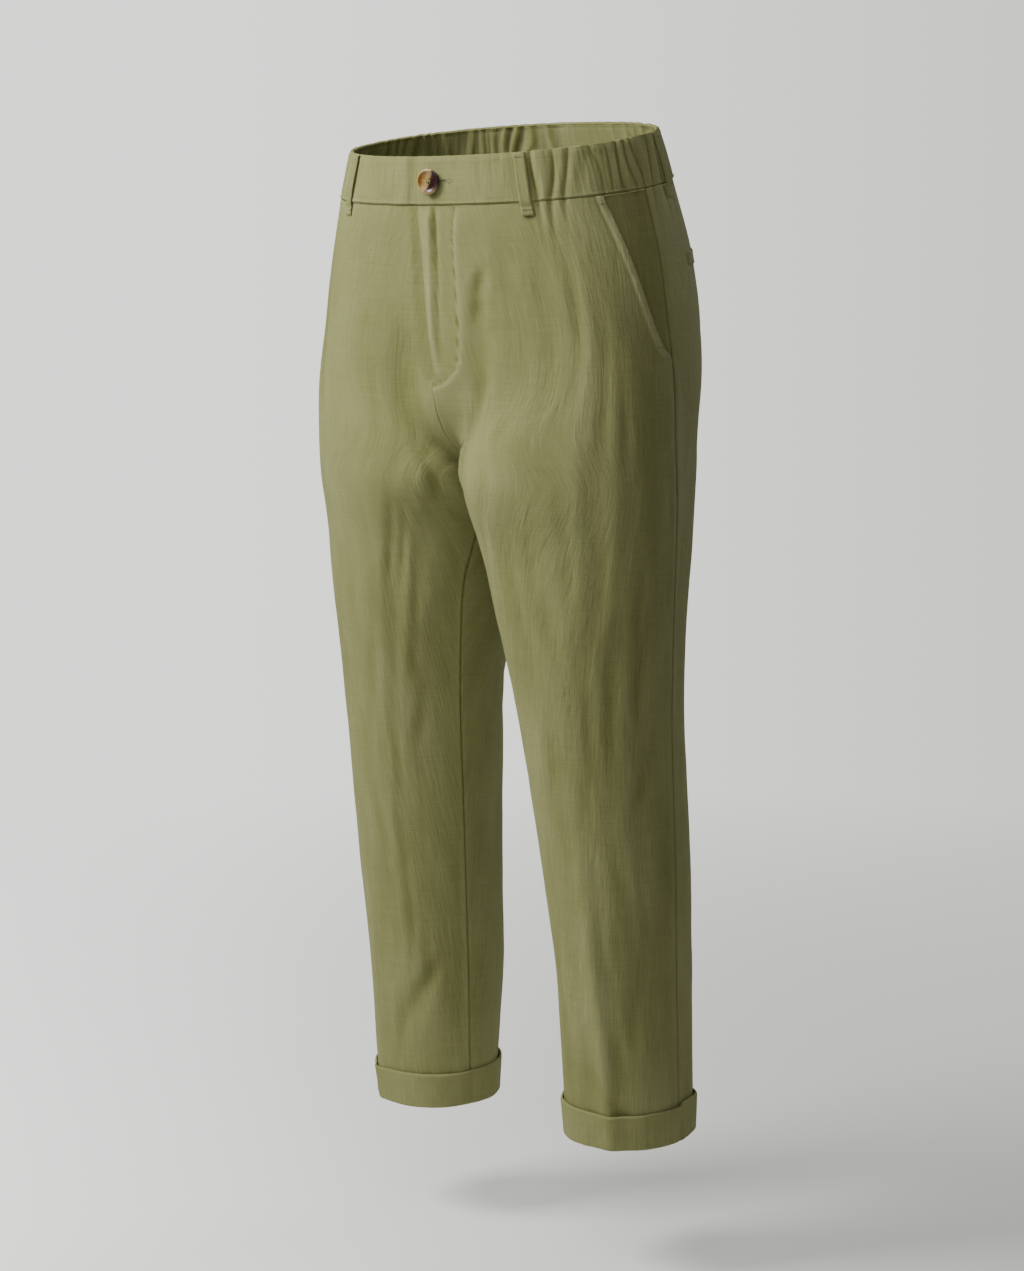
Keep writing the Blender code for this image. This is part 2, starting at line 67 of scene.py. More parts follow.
elasticFrom = 37.5  # degrees round the waist from the front
# a row for each level of the form
torsoColumns = ("drop", "half", "front", "back", "squareFront", "squareBack", "side")
torso = np.array([
    (0.000, 0.162, 0.106, 0.114, 2.15, 2.15, 90.5),
    (0.048, 0.176, 0.107, 0.127, 2.20, 2.20, 91.0),
    (0.110, 0.192, 0.103, 0.141, 2.35, 2.30, 91.5),
    (0.180, 0.203, 0.098, 0.147, 2.50, 2.35, 91.5),
    (0.240, 0.210, 0.090, 0.152, 2.60, 2.40, 91.0),
    (0.305, 0.213, 0.078, 0.159, 2.60, 2.40, 90.0)])
legColumns = ("drop", "x", "y", "out", "inn", "front", "back", "outer", "inner", "turn", "square")
leg = np.array([
    (0.180, 0.092, -0.022, 0.114, 0.120, 0.100, 0.154, 90, 104, 22.0, 2.60),
    (0.305, 0.097, -0.014, 0.109, 0.106, 0.085, 0.140, 90, 104, 20.0, 2.60),
    (0.370, 0.104, -0.003, 0.098, 0.092, 0.082, 0.114, 89, 94, 17.5, 2.50),
    (0.450, 0.108, 0.008, 0.088, 0.084, 0.086, 0.086, 86, 87, 16.5, 2.30),
    (0.560, 0.114, 0.021, 0.076, 0.074, 0.084, 0.068, 84, 84, 14.5, 2.15),
    (0.700, 0.122, 0.033, 0.068, 0.067, 0.075, 0.068, 84, 84, 10.5, 2.10),
    (0.800, 0.124, 0.042, 0.062, 0.061, 0.071, 0.067, 84, 84, 9.5, 2.10),
    (0.880, 0.126, 0.044, 0.061, 0.061, 0.065, 0.061, 84, 84, 9.0, 2.10),
    (0.945, 0.127, 0.045, 0.060, 0.061, 0.060, 0.057, 84, 84, 8.5, 2.10)])
# folds and creases: from (across, drop) to (across, drop), bowed aside by bow metres halfway; width is
# where the height has fallen to a third, depth is above 0 for a ridge and below it for a trough
creaseColumns = ("panel", "side", "a0", "d0", "a1", "d1", "bow", "width", "depth")
folds = [
    ("front", 1, 0.955, 0.258, 0.905, 0.336, 0.0, 0.010, 0.0085),
    ("front", -1, 0.93, 0.150, 0.90, 0.300, 0.0, 0.014, -0.0045),
    ("front", -1, 0.72, 0.320, 0.73, 0.520, 0.0, 0.013, -0.0030),
    ("front", -1, 0.90, 0.360, 0.88, 0.460, 0.0, 0.012, 0.0025),
    ("front", 1, 0.84, 0.115, 0.87, 0.260, 0.0, 0.012, -0.0035),
    ("front", 1, 0.34, 0.280, 0.36, 0.460, 0.0, 0.014, -0.0030),
    ("front", 1, 0.62, 0.330, 0.58, 0.520, 0.0, 0.015, -0.0022),
    ("front", 1, 0.50, 0.640, 0.375, 1.030, 0.0, 0.010, 0.0056),
    ("front", -1, 0.48, 0.660, 0.40, 1.020, 0.0, 0.011, 0.0044),
    ("front", 1, 0.62, 0.860, 0.28, 0.925, 0.0, 0.011, -0.0026),
    ("front", -1, 0.88, 0.790, 0.56, 0.880, 0.0, 0.011, -0.0028),
    ("back", 1, 0.55, 0.270, 0.42, 0.460, 0.0, 0.018, -0.0045),
    ("back", -1, 0.60, 0.260, 0.45, 0.440, 0.0, 0.018, -0.0045),
    ("back", 1, 0.72, 0.560, 0.34, 0.640, 0.0, 0.014, -0.0030),
    ("back", -1, 0.66, 0.540, 0.30, 0.650, 0.0, 0.014, -0.0030),
    ("back", 1, 0.35, 0.850, 0.72, 0.915, 0.0, 0.012, -0.0026),
    ("back", -1, 0.30, 0.860, 0.66, 0.910, 0.0, 0.012, -0.0026)]
creases = [
    # left front: beside the fly, down the thigh, round the knee, over the turn-up
    ("front", 1, 0.812, 0.112, 0.856, 0.172, 0.003, 0.0048, -0.0034),
    ("front", 1, 0.860, 0.185, 0.880, 0.262, -0.002, 0.0060, -0.0012),
    ("front", 1, 0.730, 0.075, 0.700, 0.190, 0.004, 0.0080, -0.0008),
    ("front", 1, 0.600, 0.100, 0.560, 0.230, 0.006, 0.0090, -0.0011),
    ("front", 1, 0.500, 0.060, 0.455, 0.240, -0.004, 0.0070, -0.0014),
    ("front", 1, 0.430, 0.130, 0.400, 0.330, 0.004, 0.0075, 0.0012),
    ("front", 1, 0.340, 0.170, 0.330, 0.300, 0.003, 0.0060, -0.0013),
    ("front", 1, 0.270, 0.215, 0.250, 0.330, -0.003, 0.0055, -0.0010),
    ("front", 1, 0.430, 0.300, 0.440, 0.420, 0.002, 0.0060, -0.0012),
    ("front", 1, 0.520, 0.350, 0.490, 0.500, 0.004, 0.0070, -0.0013),
    ("front", 1, 0.700, 0.245, 0.640, 0.290, 0.002, 0.0060, -0.0007),
    ("front", 1, 0.200, 0.380, 0.185, 0.540, -0.003, 0.0070, -0.0013),
    ("front", 1, 0.270, 0.430, 0.300, 0.600, 0.004, 0.0070, -0.0014),
    ("front", 1, 0.400, 0.470, 0.430, 0.640, -0.005, 0.0080, -0.0013),
    ("front", 1, 0.550, 0.540, 0.500, 0.700, 0.004, 0.0080, -0.0012),
    ("front", 1, 0.120, 0.560, 0.220, 0.640, 0.003, 0.0070, -0.0012),
    ("front", 1, 0.330, 0.640, 0.290, 0.760, -0.004, 0.0075, -0.0012),
    ("front", 1, 0.440, 0.700, 0.410, 0.800, 0.003, 0.0050, 0.0011),
    ("front", 1, 0.200, 0.760, 0.260, 0.880, 0.004, 0.0070, -0.0012),
    ("front", 1, 0.360, 0.830, 0.380, 0.905, -0.003, 0.0055, -0.0014),
    ("front", 1, 0.480, 0.860, 0.300, 0.930, 0.005, 0.0070, -0.0013),
    ("front", 1, 0.700, 0.780, 0.640, 0.900, 0.004, 0.0080, -0.0009),
    # right front
    ("front", -1, 0.925, 0.176, 0.920, 0.250, 0.003, 0.0080, -0.0018),
    ("front", -1, 0.850, 0.280, 0.860, 0.350, 0.004, 0.0080, -0.0018),
    ("front", -1, 0.940, 0.276, 0.915, 0.300, 0.002, 0.0060, 0.0016),
    ("front", -1, 0.680, 0.320, 0.690, 0.440, 0.003, 0.0055, -0.0014),
    ("front", -1, 0.760, 0.345, 0.775, 0.440, -0.003, 0.0050, -0.0014),
    ("front", -1, 0.820, 0.400, 0.800, 0.520, 0.004, 0.0055, -0.0014),
    ("front", -1, 0.910, 0.385, 0.925, 0.430, 0.002, 0.0060, 0.0013),
    ("front", -1, 0.600, 0.430, 0.620, 0.560, 0.003, 0.0070, -0.0012),
    ("front", -1, 0.720, 0.500, 0.740, 0.640, -0.004, 0.0060, -0.0014),
    ("front", -1, 0.860, 0.500, 0.800, 0.590, 0.003, 0.0060, -0.0013),
    ("front", -1, 0.560, 0.620, 0.600, 0.740, 0.004, 0.0070, -0.0012),
    ("front", -1, 0.680, 0.640, 0.720, 0.800, 0.003, 0.0055, -0.0014),
    ("front", -1, 0.780, 0.740, 0.820, 0.830, -0.003, 0.0055, -0.0012),
    ("front", -1, 0.865, 0.788, 0.708, 0.828, 0.003, 0.0060, -0.0016),
    ("front", -1, 0.620, 0.820, 0.560, 0.910, 0.004, 0.0060, -0.0012),
    ("front", -1, 0.400, 0.120, 0.380, 0.300, 0.004, 0.0090, -0.0011),
    ("front", -1, 0.300, 0.300, 0.320, 0.480, -0.004, 0.0090, -0.0012),
    ("front", -1, 0.350, 0.560, 0.300, 0.700, 0.004, 0.0080, -0.0011),
    # backs
    ("back", 1, 0.300, 0.130, 0.340, 0.270, 0.004, 0.0080, -0.0014),
    ("back", 1, 0.750, 0.200, 0.620, 0.290, -0.006, 0.0080, -0.0020),
    ("back", 1, 0.850, 0.240, 0.640, 0.320, -0.006, 0.0070, -0.0020),
    ("back", 1, 0.500, 0.330, 0.420, 0.480, 0.004, 0.0070, -0.0015),
    ("back", 1, 0.200, 0.360, 0.240, 0.520, 0.003, 0.0070, -0.0012),
    ("back", 1, 0.780, 0.400, 0.640, 0.560, 0.005, 0.0080, -0.0015),
    ("back", 1, 0.620, 0.590, 0.250, 0.610, 0.008, 0.0070, -0.0016),
    ("back", 1, 0.700, 0.620, 0.300, 0.680, 0.006, 0.0070, -0.0014),
    ("back", 1, 0.450, 0.700, 0.400, 0.840, 0.004, 0.0080, -0.0012),
    ("back", 1, 0.200, 0.740, 0.260, 0.880, 0.004, 0.0070, -0.0012),
    ("back", -1, 0.340, 0.140, 0.320, 0.280, 0.004, 0.0080, -0.0014),
    ("back", -1, 0.770, 0.190, 0.600, 0.290, -0.006, 0.0080, -0.0020),
    ("back", -1, 0.830, 0.250, 0.620, 0.340, -0.006, 0.0070, -0.0020),
    ("back", -1, 0.480, 0.350, 0.440, 0.500, -0.004, 0.0070, -0.0015),
    ("back", -1, 0.220, 0.420, 0.260, 0.560, 0.003, 0.0070, -0.0012),
    ("back", -1, 0.800, 0.430, 0.600, 0.570, 0.005, 0.0080, -0.0015),
    ("back", -1, 0.640, 0.570, 0.280, 0.620, 0.008, 0.0070, -0.0016),
    ("back", -1, 0.680, 0.640, 0.340, 0.690, 0.006, 0.0070, -0.0014),
    ("back", -1, 0.500, 0.720, 0.440, 0.850, 0.004, 0.0080, -0.0012),
    ("back", -1, 0.240, 0.760, 0.280, 0.890, 0.004, 0.0070, -0.0012)]
sideNames = {1: "left", -1: "right"}


# the form
def smooth(t):
    # 3 t^2 - 2 t^3, held at 0 and 1 outside
    t = np.clip(t, 0.0, 1.0)
    return t * t * (3.0 - 2.0 * t)


def ridge(distance, at, reach):
    # exp(-((distance - at) / reach)^2)
    return np.exp(-((distance - at) / reach) ** 2)


def rolled(distance, depth, reach):
    # an edge turned in: -depth * ridge(distance, 0, reach)
    return -depth * ridge(distance, 0.0, reach)


def readAt(rows, columns, name, drop):
    # monotone cubic through one column of a table: Hermite pieces whose slopes at the rows are the
    # weighted harmonic means of the slopes on either side, and 0 where those change sign
    x, y = rows[:, 0], rows[:, columns.index(name)]
    step = np.diff(x)
    slope = np.diff(y) / step
    tangent = np.zeros_like(y)
    tangent[0], tangent[-1] = slope[0], slope[-1]
    before, after = 2.0 * step[1:] + step[:-1], step[1:] + 2.0 * step[:-1]
    rising = slope[:-1] * slope[1:] > 0.0
    first, last = np.where(rising, slope[:-1], 1.0), np.where(rising, slope[1:], 1.0)
    tangent[1:-1] = np.where(rising, (before + after) / (before / first + after / last), 0.0)
    drop = np.clip(drop, x[0], x[-1])
    i = np.clip(np.searchsorted(x, drop) - 1, 0, len(x) - 2)
    t = (drop - x[i]) / step[i]
    return ((1 + 2 * t) * (1 - t) ** 2 * y[i] + t * (1 - t) ** 2 * step[i] * tangent[i]
            + t * t * (3 - 2 * t) * y[i + 1] + t * t * (t - 1) * step[i] * tangent[i + 1])


def torsoAt(name, drop):
    # one column of the torso's table
    return readAt(torso, torsoColumns, name, drop)


def legAt(name, drop):
    # one column of the leg's table
    return readAt(leg, legColumns, name, drop)


def waistDegrees(panel, across, drop):
    # degrees round the waist from the centre front, 0 to 180
    seam = torsoAt("side", drop)
    return seam * (1 - across) if panel == "front" else seam + (180 - seam) * across


def lobe(degrees, left, right, front, back, squareFront, squareBack):
    # superellipse: x = reach * |sin|^(2/square), y = reach * |cos|^(2/square), its own reach each way
    sine, cosine = np.sin(np.radians(degrees)), np.cos(np.radians(degrees))
    power = 2.0 / np.where(cosine > 0, squareFront, squareBack)
    x = np.where(sine > 0, left, -right) * np.abs(sine) ** power
    y = np.where(cosine > 0, -front, back) * np.abs(cosine) ** power
    return x, y


def blended(panel, across, drop):
    # torso section * (1 - share) + leg section * share; share goes round the curve of the crotch
    g = garment
    half = torsoAt("half", drop)
    bodyX, bodyY = lobe(waistDegrees(panel, across, drop), half, half, torsoAt("front", drop),
                        torsoAt("back", drop), torsoAt("squareFront", drop), torsoAt("squareBack", drop))
    outer, inner = legAt("outer", drop), legAt("inner", drop)
    sweep = -(outer + inner) if panel == "front" else 360 - outer - inner
    square = legAt("square", drop)
    x, y = lobe(outer + sweep * across, legAt("out", drop), legAt("inn", drop),
                legAt("front", drop), legAt("back", drop), square, square)
    turned = np.radians(legAt("turn", drop))
    legX = legAt("x", drop) + x * np.cos(turned) - y * np.sin(turned)
    legY = legAt("y", drop) + x * np.sin(turned) + y * np.cos(turned)
    legX = 0.5 * (legX + np.sqrt(legX ** 2 + g["thighsTouch"] ** 2))
    fork = g["frontFork"] if panel == "front" else g["backFork"]
    t = (drop - fork) / (g["crotch"] - fork)
    roundUnder = np.clip(t, 0, 1) * math.pi / 2
    beside = smooth((drop - fork + g["flyClear"]) / (g["crotch"] - fork))
    inward = np.clip(across, 0, 1) ** (g["seamAbove"] + (g["seamBelow"] - g["seamAbove"]) * beside)
    outside = smooth((drop - fork + g["blendAbove"])
                     / (g["crotch"] + g["blendBelow"] + g["blendAbove"] - fork))
    # away from the seam the corner where it turns down the leg is rounded off: a soft minimum of t and 1
    eased = np.clip(1 - g["corner"] * np.logaddexp(0, (1 - t) / g["corner"]), 0, 1) * math.pi / 2
    atSeam = np.clip(across, 0, 1) ** g["seamOnly"]
    under = 1 - np.cos(roundUnder) * atSeam - np.cos(eased) * (1 - atSeam)
    share = inward * under + (1 - inward) * outside
    x = bodyX * (1 - share) + legX * share
    y = bodyY * (1 - share) + legY * share
    seamZ = np.where(drop < fork, -drop, -fork - (g["crotch"] - fork) * np.sin(roundUnder))
    seamZ = np.where(drop > g["crotch"], -drop, seamZ)
    z = -drop * (1 - inward) + seamZ * inward
    z = z + g["backRise"] * (1 - smooth(drop / g["riseFades"])) * y
    hemShare = smooth((drop - g["hemSlopeFrom"]) / g["hemSlopeOver"])
    return x, y, z + g["hemSlope"] * hemShare * (y - legAt("y", drop))


def form(panel, side, across, drop):
    # the blended form with its centre seams brought to x = 0, mirrored for the right
    g = garment
    x, y, z = blended(panel, across, drop)
    centreX = blended(panel, np.ones_like(across), np.minimum(drop, g["crotch"]))[0]
    x = x - centreX * np.clip(across, 0, 1) ** 3 * (1 - smooth((drop - g["crotch"]) / g["centredTo"]))
    if side < 0:
        z = z - g["rightHangs"] * smooth((drop - g["thighEnd"]) / (g["hem"] - g["thighEnd"]))
    return np.stack([side * x, y, z], -1)


def outward(panel, side, across, drop, stepA=1e-3, stepD=5e-4):
    # unit cross product of the form's slopes by across and by drop
    alongA = form(panel, side, across + stepA, drop) - form(panel, side, across - stepA, drop)
    high, low = np.clip(drop - stepD, 0.0, None), np.clip(drop + stepD, None, garment["hem"])
    alongD = form(panel, side, across, low) - form(panel, side, across, high)
    direction = np.cross(alongA, alongD) * (side if panel == "front" else -side)
    return direction / np.linalg.norm(direction, axis=-1, keepdims=True)


# the panels' widths along the form, by drop
widthDrops = np.linspace(0.0, garment["hem"], 64)
widthTables = {}
for panelName in ("front", "back"):
    spread = np.linspace(0.0, 1.0, 41)[None, :] + np.zeros((64, 1))
    line = form(panelName, 1, spread, widthDrops[:, None] + np.zeros_like(spread))
    widthTables[panelName] = np.linalg.norm(np.diff(line, axis=1), axis=2).sum(axis=1)


def panelWidth(panel, drop):
    # read between the measured widths
    return np.interp(drop, widthDrops, widthTables[panel])


# folds, creases and small unevenness
def softNoise(u, v, cellU, cellV, seed):
    # random heights on a lattice of cellU by cellV metres, blended smoothly between its corners; -1 to 1
    heights = np.random.default_rng(seed).uniform(-1.0, 1.0, (64, 128))
    x, y = u / cellU + 17.3, v / cellV + 5.1
    i, j = np.floor(x).astype(int), np.floor(y).astype(int)
    s, t = smooth(x - i), smooth(y - j)
    i, j = i % 63, j % 127
    return ((1 - s) * (1 - t) * heights[i, j] + s * (1 - t) * heights[i + 1, j]
            + (1 - s) * t * heights[i, j + 1] + s * t * heights[i + 1, j + 1])


def creaseHeight(rows, panel, side, across, drop, beside):
    # sum of depth * (ridge(s, 0, width) - beside * ridge(|s|, 1.9 width, width)) * fade along, where s is
    # the distance from the crease's line
    height = np.zeros_like(across)
    for number, row in enumerate(rows):
        c = dict(zip(creaseColumns, row))
        if c["panel"] != panel or c["side"] != side:
            continue
        width = panelWidth(panel, 0.5 * (c["d0"] + c["d1"]))
        run = np.array([(c["a1"] - c["a0"]) * width, c["d1"] - c["d0"]])
        length = np.linalg.norm(run)
        awayA, awayD = (across - c["a0"]) * width, drop - c["d0"]
        along = (awayA * run[0] + awayD * run[1]) / length ** 2
        aside = (awayA * run[1] - awayD * run[0]) / length - 4.0 * c["bow"] * along * (1 - along)
        fade = smooth(1.8 * along + 0.25) * smooth(1.8 * (1 - along) + 0.25)
        uneven = 1.0 + beside * np.sin(9.0 * along + 2.3 * number)
        reach = ridge(aside, 0.0, c["width"]) - beside * ridge(np.abs(aside), 1.9 * c["width"], c["width"])
        height += c["depth"] * reach * fade * uneven
    return height


gatherSetup = dict(count=46, depth=0.0021, fades=0.024, panelShare=0.80, sharpness=0.75, startsOver=5.0,
                   fine=0.06)


def gatherWave(degrees, drop):
    # uneven pleats round the elastic: 2 |cos(pi p)|^sharpness - 1 with p swelling and shrinking round the
    # waist, leaning a little with drop; 0 at the ends of the elastic
    turned = np.abs((np.asarray(degrees, float) + 180.0) % 360.0 - 180.0)
    phase = gatherSetup["count"] * (degrees % 360.0 - elasticFrom) / (360 - 2 * elasticFrom)
    p = phase + 0.42 * np.sin(0.9 * phase) + 0.27 * np.sin(0.37 * phase + 1.0) + 0.15 * np.sin(2.3 * phase)
    p = p + 10.0 * drop * np.sin(0.61 * phase + 0.4) + 0.22 * np.sin(70.0 * drop + 1.7 * phase)
    swell = 0.62 + 0.28 * np.sin(0.77 * phase + 0.6) + 0.20 * np.sin(1.9 * phase)
    fine = gatherSetup["fine"] * np.sin(2 * math.pi * (2.3 * phase + 14.0 * drop * np.sin(1.1 * phase)))
    fromEnd = smooth((turned - elasticFrom) / gatherSetup["startsOver"])
    return fromEnd * (swell * (2.0 * np.abs(np.cos(math.pi * p)) ** gatherSetup["sharpness"] - 1.0) + fine)


def centreFree(panel, across, drop, reach):
    # 0 on the centre seam and inseam and 1 at reach from them; the fly's overlap is free too
    free = smooth(np.abs(1.0 - across) * panelWidth(panel, drop) / reach)
    if panel == "front":
        free = 1.0 - (1.0 - free) * smooth((drop - fly["freeTo"]) / fly["freeFades"])
    return free


# ripples as (height, cell across, cell down), the creases' strength and lips, and how far from a seam the
# cloth is quite free
unevenness = dict(ripple=(0.00060, 0.016, 0.085), fine=(0.00032, 0.0075, 0.034), slow=(0.0010, 0.060, 0.160),
                  creases=0.80, lip=0.30, seamFree=0.010)


def ripples(kind, u, drop, seed):
    # height * softNoise over cells of that kind
    height, cellU, cellV = unevenness[kind]
    return height * softNoise(u, drop, cellU, cellV, seed)


def panelRelief(panel, side, across, drop, gathered=1.0):
    # folds + creases + slow unevenness, held flat along the seams so that the panels meet, + gathers fading
    # below the band; as height out of the form
    width = panelWidth(panel, drop)
    u = across * width
    height = creaseHeight(folds, panel, side, across, drop, 0.0)
    height += unevenness["creases"] * creaseHeight(creases, panel, side, across, drop, unevenness["lip"])
    seed = {"front": 11, "back": 23}[panel] + side
    # calmer over the hips than over the thighs and shins
    thigh = 0.45 + 0.75 * smooth((drop - 0.20) / 0.20) - 0.05 * smooth((drop - 0.55) / 0.15)
    height += thigh * (ripples("ripple", u, drop, seed) + ripples("fine", u + 0.1 * drop, drop, seed + 40))
    height += ripples("slow", u, drop, seed + 80)
    free = unevenness["seamFree"]
    height = height * smooth(u / free) * centreFree(panel, across, drop, free)
    below = np.clip(drop - garment["bandHeight"], 0.0, None)
    fade = np.exp(-(below / gatherSetup["fades"]) ** 1.3) * gatherSetup["panelShare"]
    wave = gatherWave(side * waistDegrees(panel, across, drop), garment["bandHeight"] + 0.3 * below)
    height += gathered * gatherSetup["depth"] * fade * wave
    return height


# materials
class Field:
    # a shader socket that takes part in sums
    def __init__(self, look, socket):
        self.look = look
        self.socket = socket

    def maths(self, operation, *others):
        inputs = {i: value for i, value in enumerate((self,) + others)}
        return self.look.add("ShaderNodeMath", {"operation": operation}, inputs)("Value")

    def __add__(self, other):
        return self.maths("ADD", other)

    __radd__ = __add__

    def __sub__(self, other):
        return self.maths("SUBTRACT", other)

    def __rsub__(self, other):
        return (self * -1.0).maths("ADD", other)

    def __mul__(self, other):
        return self.maths("MULTIPLY", other)

    __rmul__ = __mul__

    def __truediv__(self, other):
        return self.maths("DIVIDE", other)

    def __rtruediv__(self, other):
        return self.maths("POWER", -1.0) * other

    def __pow__(self, other):
        return self.maths("POWER", other)

    def held(self):
        # kept between 0 and 1
        return self.maths("MAXIMUM", 0.0).maths("MINIMUM", 1.0)


class Look:
    # one material or world and the nodes in it
    def __init__(self, holder):
        holder.use_nodes = True
        self.holder = holder
        self.tree = holder.node_tree
        self.shader = self.tree.nodes.get("Principled BSDF")

    def put(self, value, socket):
        # a field is linked to the socket, anything else is set on it
        if isinstance(value, Field):
            self.tree.links.new(value.socket, socket)
        else:
            socket.default_value = value

    def add(self, kind, settings=None, inputs=None):
        # a new node; calling what comes back with an output's name gives that output as a field
        node = self.tree.nodes.new(kind)
        for name, value in (settings or {}).items():
            if name == "stops":
                while len(node.color_ramp.elements) < len(value):
                    node.color_ramp.elements.new(0.5)
                for element, (place, colour) in zip(node.color_ramp.elements, value):
                    element.position, element.color = place, (*colour, 1.0)
            else:
                setattr(node, name, value)
        for name, value in (inputs or {}).items():
            self.put(value, node.inputs[name])
        return lambda output: Field(self, node.outputs[output])

    def noise(self, where, scale, stretch=(1.0, 1.0, 1.0), detail=2.0, roughness=0.5):
        # noise at where * stretch * scale
        place = self.add("ShaderNodeMapping", inputs={"Vector": where, "Scale": stretch})("Vector")
        return self.add("ShaderNodeTexNoise", inputs={"Vector": place, "Scale": scale, "Detail": detail,
                                                      "Roughness": roughness})("Fac")

    def mixed(self, share, first, second):
        # first * (1 - share) + second * share, colours
        return self.add("ShaderNodeMix", {"data_type": "RGBA"},
                        {"Factor": share, 6: first, 7: second})(2)

    def finish(self, colour, roughness, height=None, bump=None, distance=None, **fixed):
        # fixed holds the shader's plain values, with _ for each space in a socket's name
        self.put(colour, self.shader.inputs["Base Color"])
        self.put(roughness, self.shader.inputs["Roughness"])
        if height is not None:
            self.put(self.add("ShaderNodeBump", inputs={"Strength": bump, "Distance": distance,
                                                        "Height": height})("Normal"),
                     self.shader.inputs["Normal"])
        for name, value in fixed.items():
            self.shader.inputs[name.replace("_", " ")].default_value = value
        return self.holder


linen = dict(base=(0.246, 0.251, 0.101), pale=(0.338, 0.346, 0.172), dark=(0.158, 0.160, 0.047),
             threads=0.00078, wobble=0.0016, weaveLift=0.35, weaveTone=0.05, middleTone=0.46,
             cloudTone=0.42, riseTone=0.20, roughness=0.86, bump=0.55, bumpDistance=0.00045)
# the cloth's unevenness: cells per metre across and down, detail, how far it lightens and lifts the cloth
linenNoises = dict(warpSlubs=(760.0, 28.0, 3.0, 0.416, 1.0), weftSlubs=(22.0, 820.0, 3.0, 0.416, 0.8),
                   thickThreads=(430.0, 24.0, 3.0, 0.32, 0.8), streaks=(290.0, 34.0, 3.0, None, 3.6),
                   crumple=(110.0, 60.0, 4.0, None, 4.2))


def linenLook(name, shade=1.0):
    # plain weave: height = sin(pi x / thread) * sin(pi y / thread) + the noises * their lifts; tone goes
    # from dark through base to pale with the noises, slow clouds and rise, the painted shade and highlight
    look = Look(bpy.data.materials.new(name))
    cut = look.add("ShaderNodeUVMap", {"uv_map": "cut"})("UV")
    parts = look.add("ShaderNodeSeparateXYZ", inputs={"Vector": cut})
    wobble = look.noise(cut, 60.0) * linen["wobble"]
    x = (parts("X") + wobble) * (math.pi / linen["threads"])
    y = (parts("Y") + wobble) * (math.pi / linen["threads"])
    weave = x.maths("SINE") * y.maths("SINE")
    cloud = look.noise(cut, 14.0, (1.0, 0.6, 1.0), 3.0)
    # rise: painted shade in hollows, seams and recesses and painted highlight on ridges, baked per vertex
    rise = look.add("ShaderNodeAttribute", {"attribute_name": "rise"})("Fac")
    height = weave * linen["weaveLift"]
    light = (cloud - 0.5) * linen["cloudTone"] + weave * linen["weaveTone"] + linen["middleTone"]
    for cellsAcross, cellsDown, detail, lightens, lifts in linenNoises.values():
        noise = look.noise(cut, 1.0, (cellsAcross, cellsDown, 1.0), detail, 0.6)
        height = height + noise * lifts
        if lightens:
            light = light + (noise - 0.5) * lightens
    # the painted shade and highlight in rise darken and lighten the tone here
    light = (light + rise * linen["riseTone"]).held()
    stops = [(place, tuple(part * shade for part in linen[name]))
             for place, name in ((0.0, "dark"), (0.5, "base"), (1.0, "pale"))]
    tone = look.add("ShaderNodeValToRGB", {"stops": stops}, {"Fac": light})("Color")
    return look.finish(tone, linen["roughness"] + (cloud - 0.5) * 0.1, height, linen["bump"],
                       linen["bumpDistance"], Sheen_Weight=0.05, Sheen_Roughness=0.5,
                       Sheen_Tint=(0.55, 0.55, 0.35, 1.0), Specular_IOR_Level=0.2)


def threadLook():
    # spun thread: tone = noise between dark and pale, height = much finer noise
    look = Look(bpy.data.materials.new("olive thread"))
    place = look.add("ShaderNodeTexCoord")("Object")
    twist = look.noise(place, 2600.0)
    tone = look.mixed(look.noise(place, 300.0), (0.235, 0.232, 0.102, 1.0), (0.330, 0.325, 0.168, 1.0))
    return look.finish(tone, 0.75, twist, 0.5, 0.0002, Specular_IOR_Level=0.2)


linenCloth = linenLook("olive linen")
linenInner = linenLook("olive linen, doubled", 0.97)
thread = threadLook()
print("materials ready")


# meshes
def addPiece(name, vertices, faces, material):
    # a smooth-shaded mesh at the origin
    mesh = bpy.data.meshes.new(name)
    mesh.from_pydata(np.asarray(vertices, float).reshape(-1, 3).tolist(), [], faces)
    mesh.materials.append(material)
    mesh.polygons.foreach_set("use_smooth", np.ones(len(mesh.polygons), dtype=bool))
    piece = bpy.data.objects.new(name, mesh)
    bpy.context.scene.collection.objects.link(piece)
    return piece


def gridFaces(rows, columns, ring=False, flip=False):
    # the quads between neighbouring rows and columns; a ring's last column joins its first
    index = np.arange(rows * columns).reshape(rows, columns)
    after = np.roll(index, -1, axis=1) if ring else index[:, 1:]
    before = index if ring else index[:, :-1]
    faces = np.stack([before[:-1], after[:-1], after[1:], before[1:]], -1).reshape(-1, 4)
    return faces[:, [0, 3, 2, 1]] if flip else faces


def layCut(mesh, cut):
    # each vertex's place in the cut cloth, in metres, as a UV map
    corners = np.zeros(len(mesh.loops), dtype=np.int32)
    mesh.loops.foreach_get("vertex_index", corners)
    layer = mesh.uv_layers.new(name="cut")
    layer.data.foreach_set("uv", cut.reshape(-1, 2)[corners].ravel().astype(np.float32))


def addSheet(name, points, cut, rise, flip, wall, ring=False, material=linenCloth):
    # a grid of points as a sheet with its cut as a UV map in metres and rise, its painted shade and
    # highlight, as a vertex attribute
    rows, columns = points.shape[:2]
    piece = addPiece(name, points, gridFaces(rows, columns, ring, flip).tolist(), material)
    layCut(piece.data, cut)
    values = piece.data.attributes.new("rise", "FLOAT", "POINT")
    values.data.foreach_set("value", np.broadcast_to(rise, points.shape[:2]).ravel().astype(np.float32))
    solidify = piece.modifiers.new("wall", "SOLIDIFY")
    solidify.thickness = wall
    solidify.offset = -1.0
    return piece


def standsFor(piece, node):
    # the piece is shown for one solid of the body
    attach(piece, "root")
    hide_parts(node)


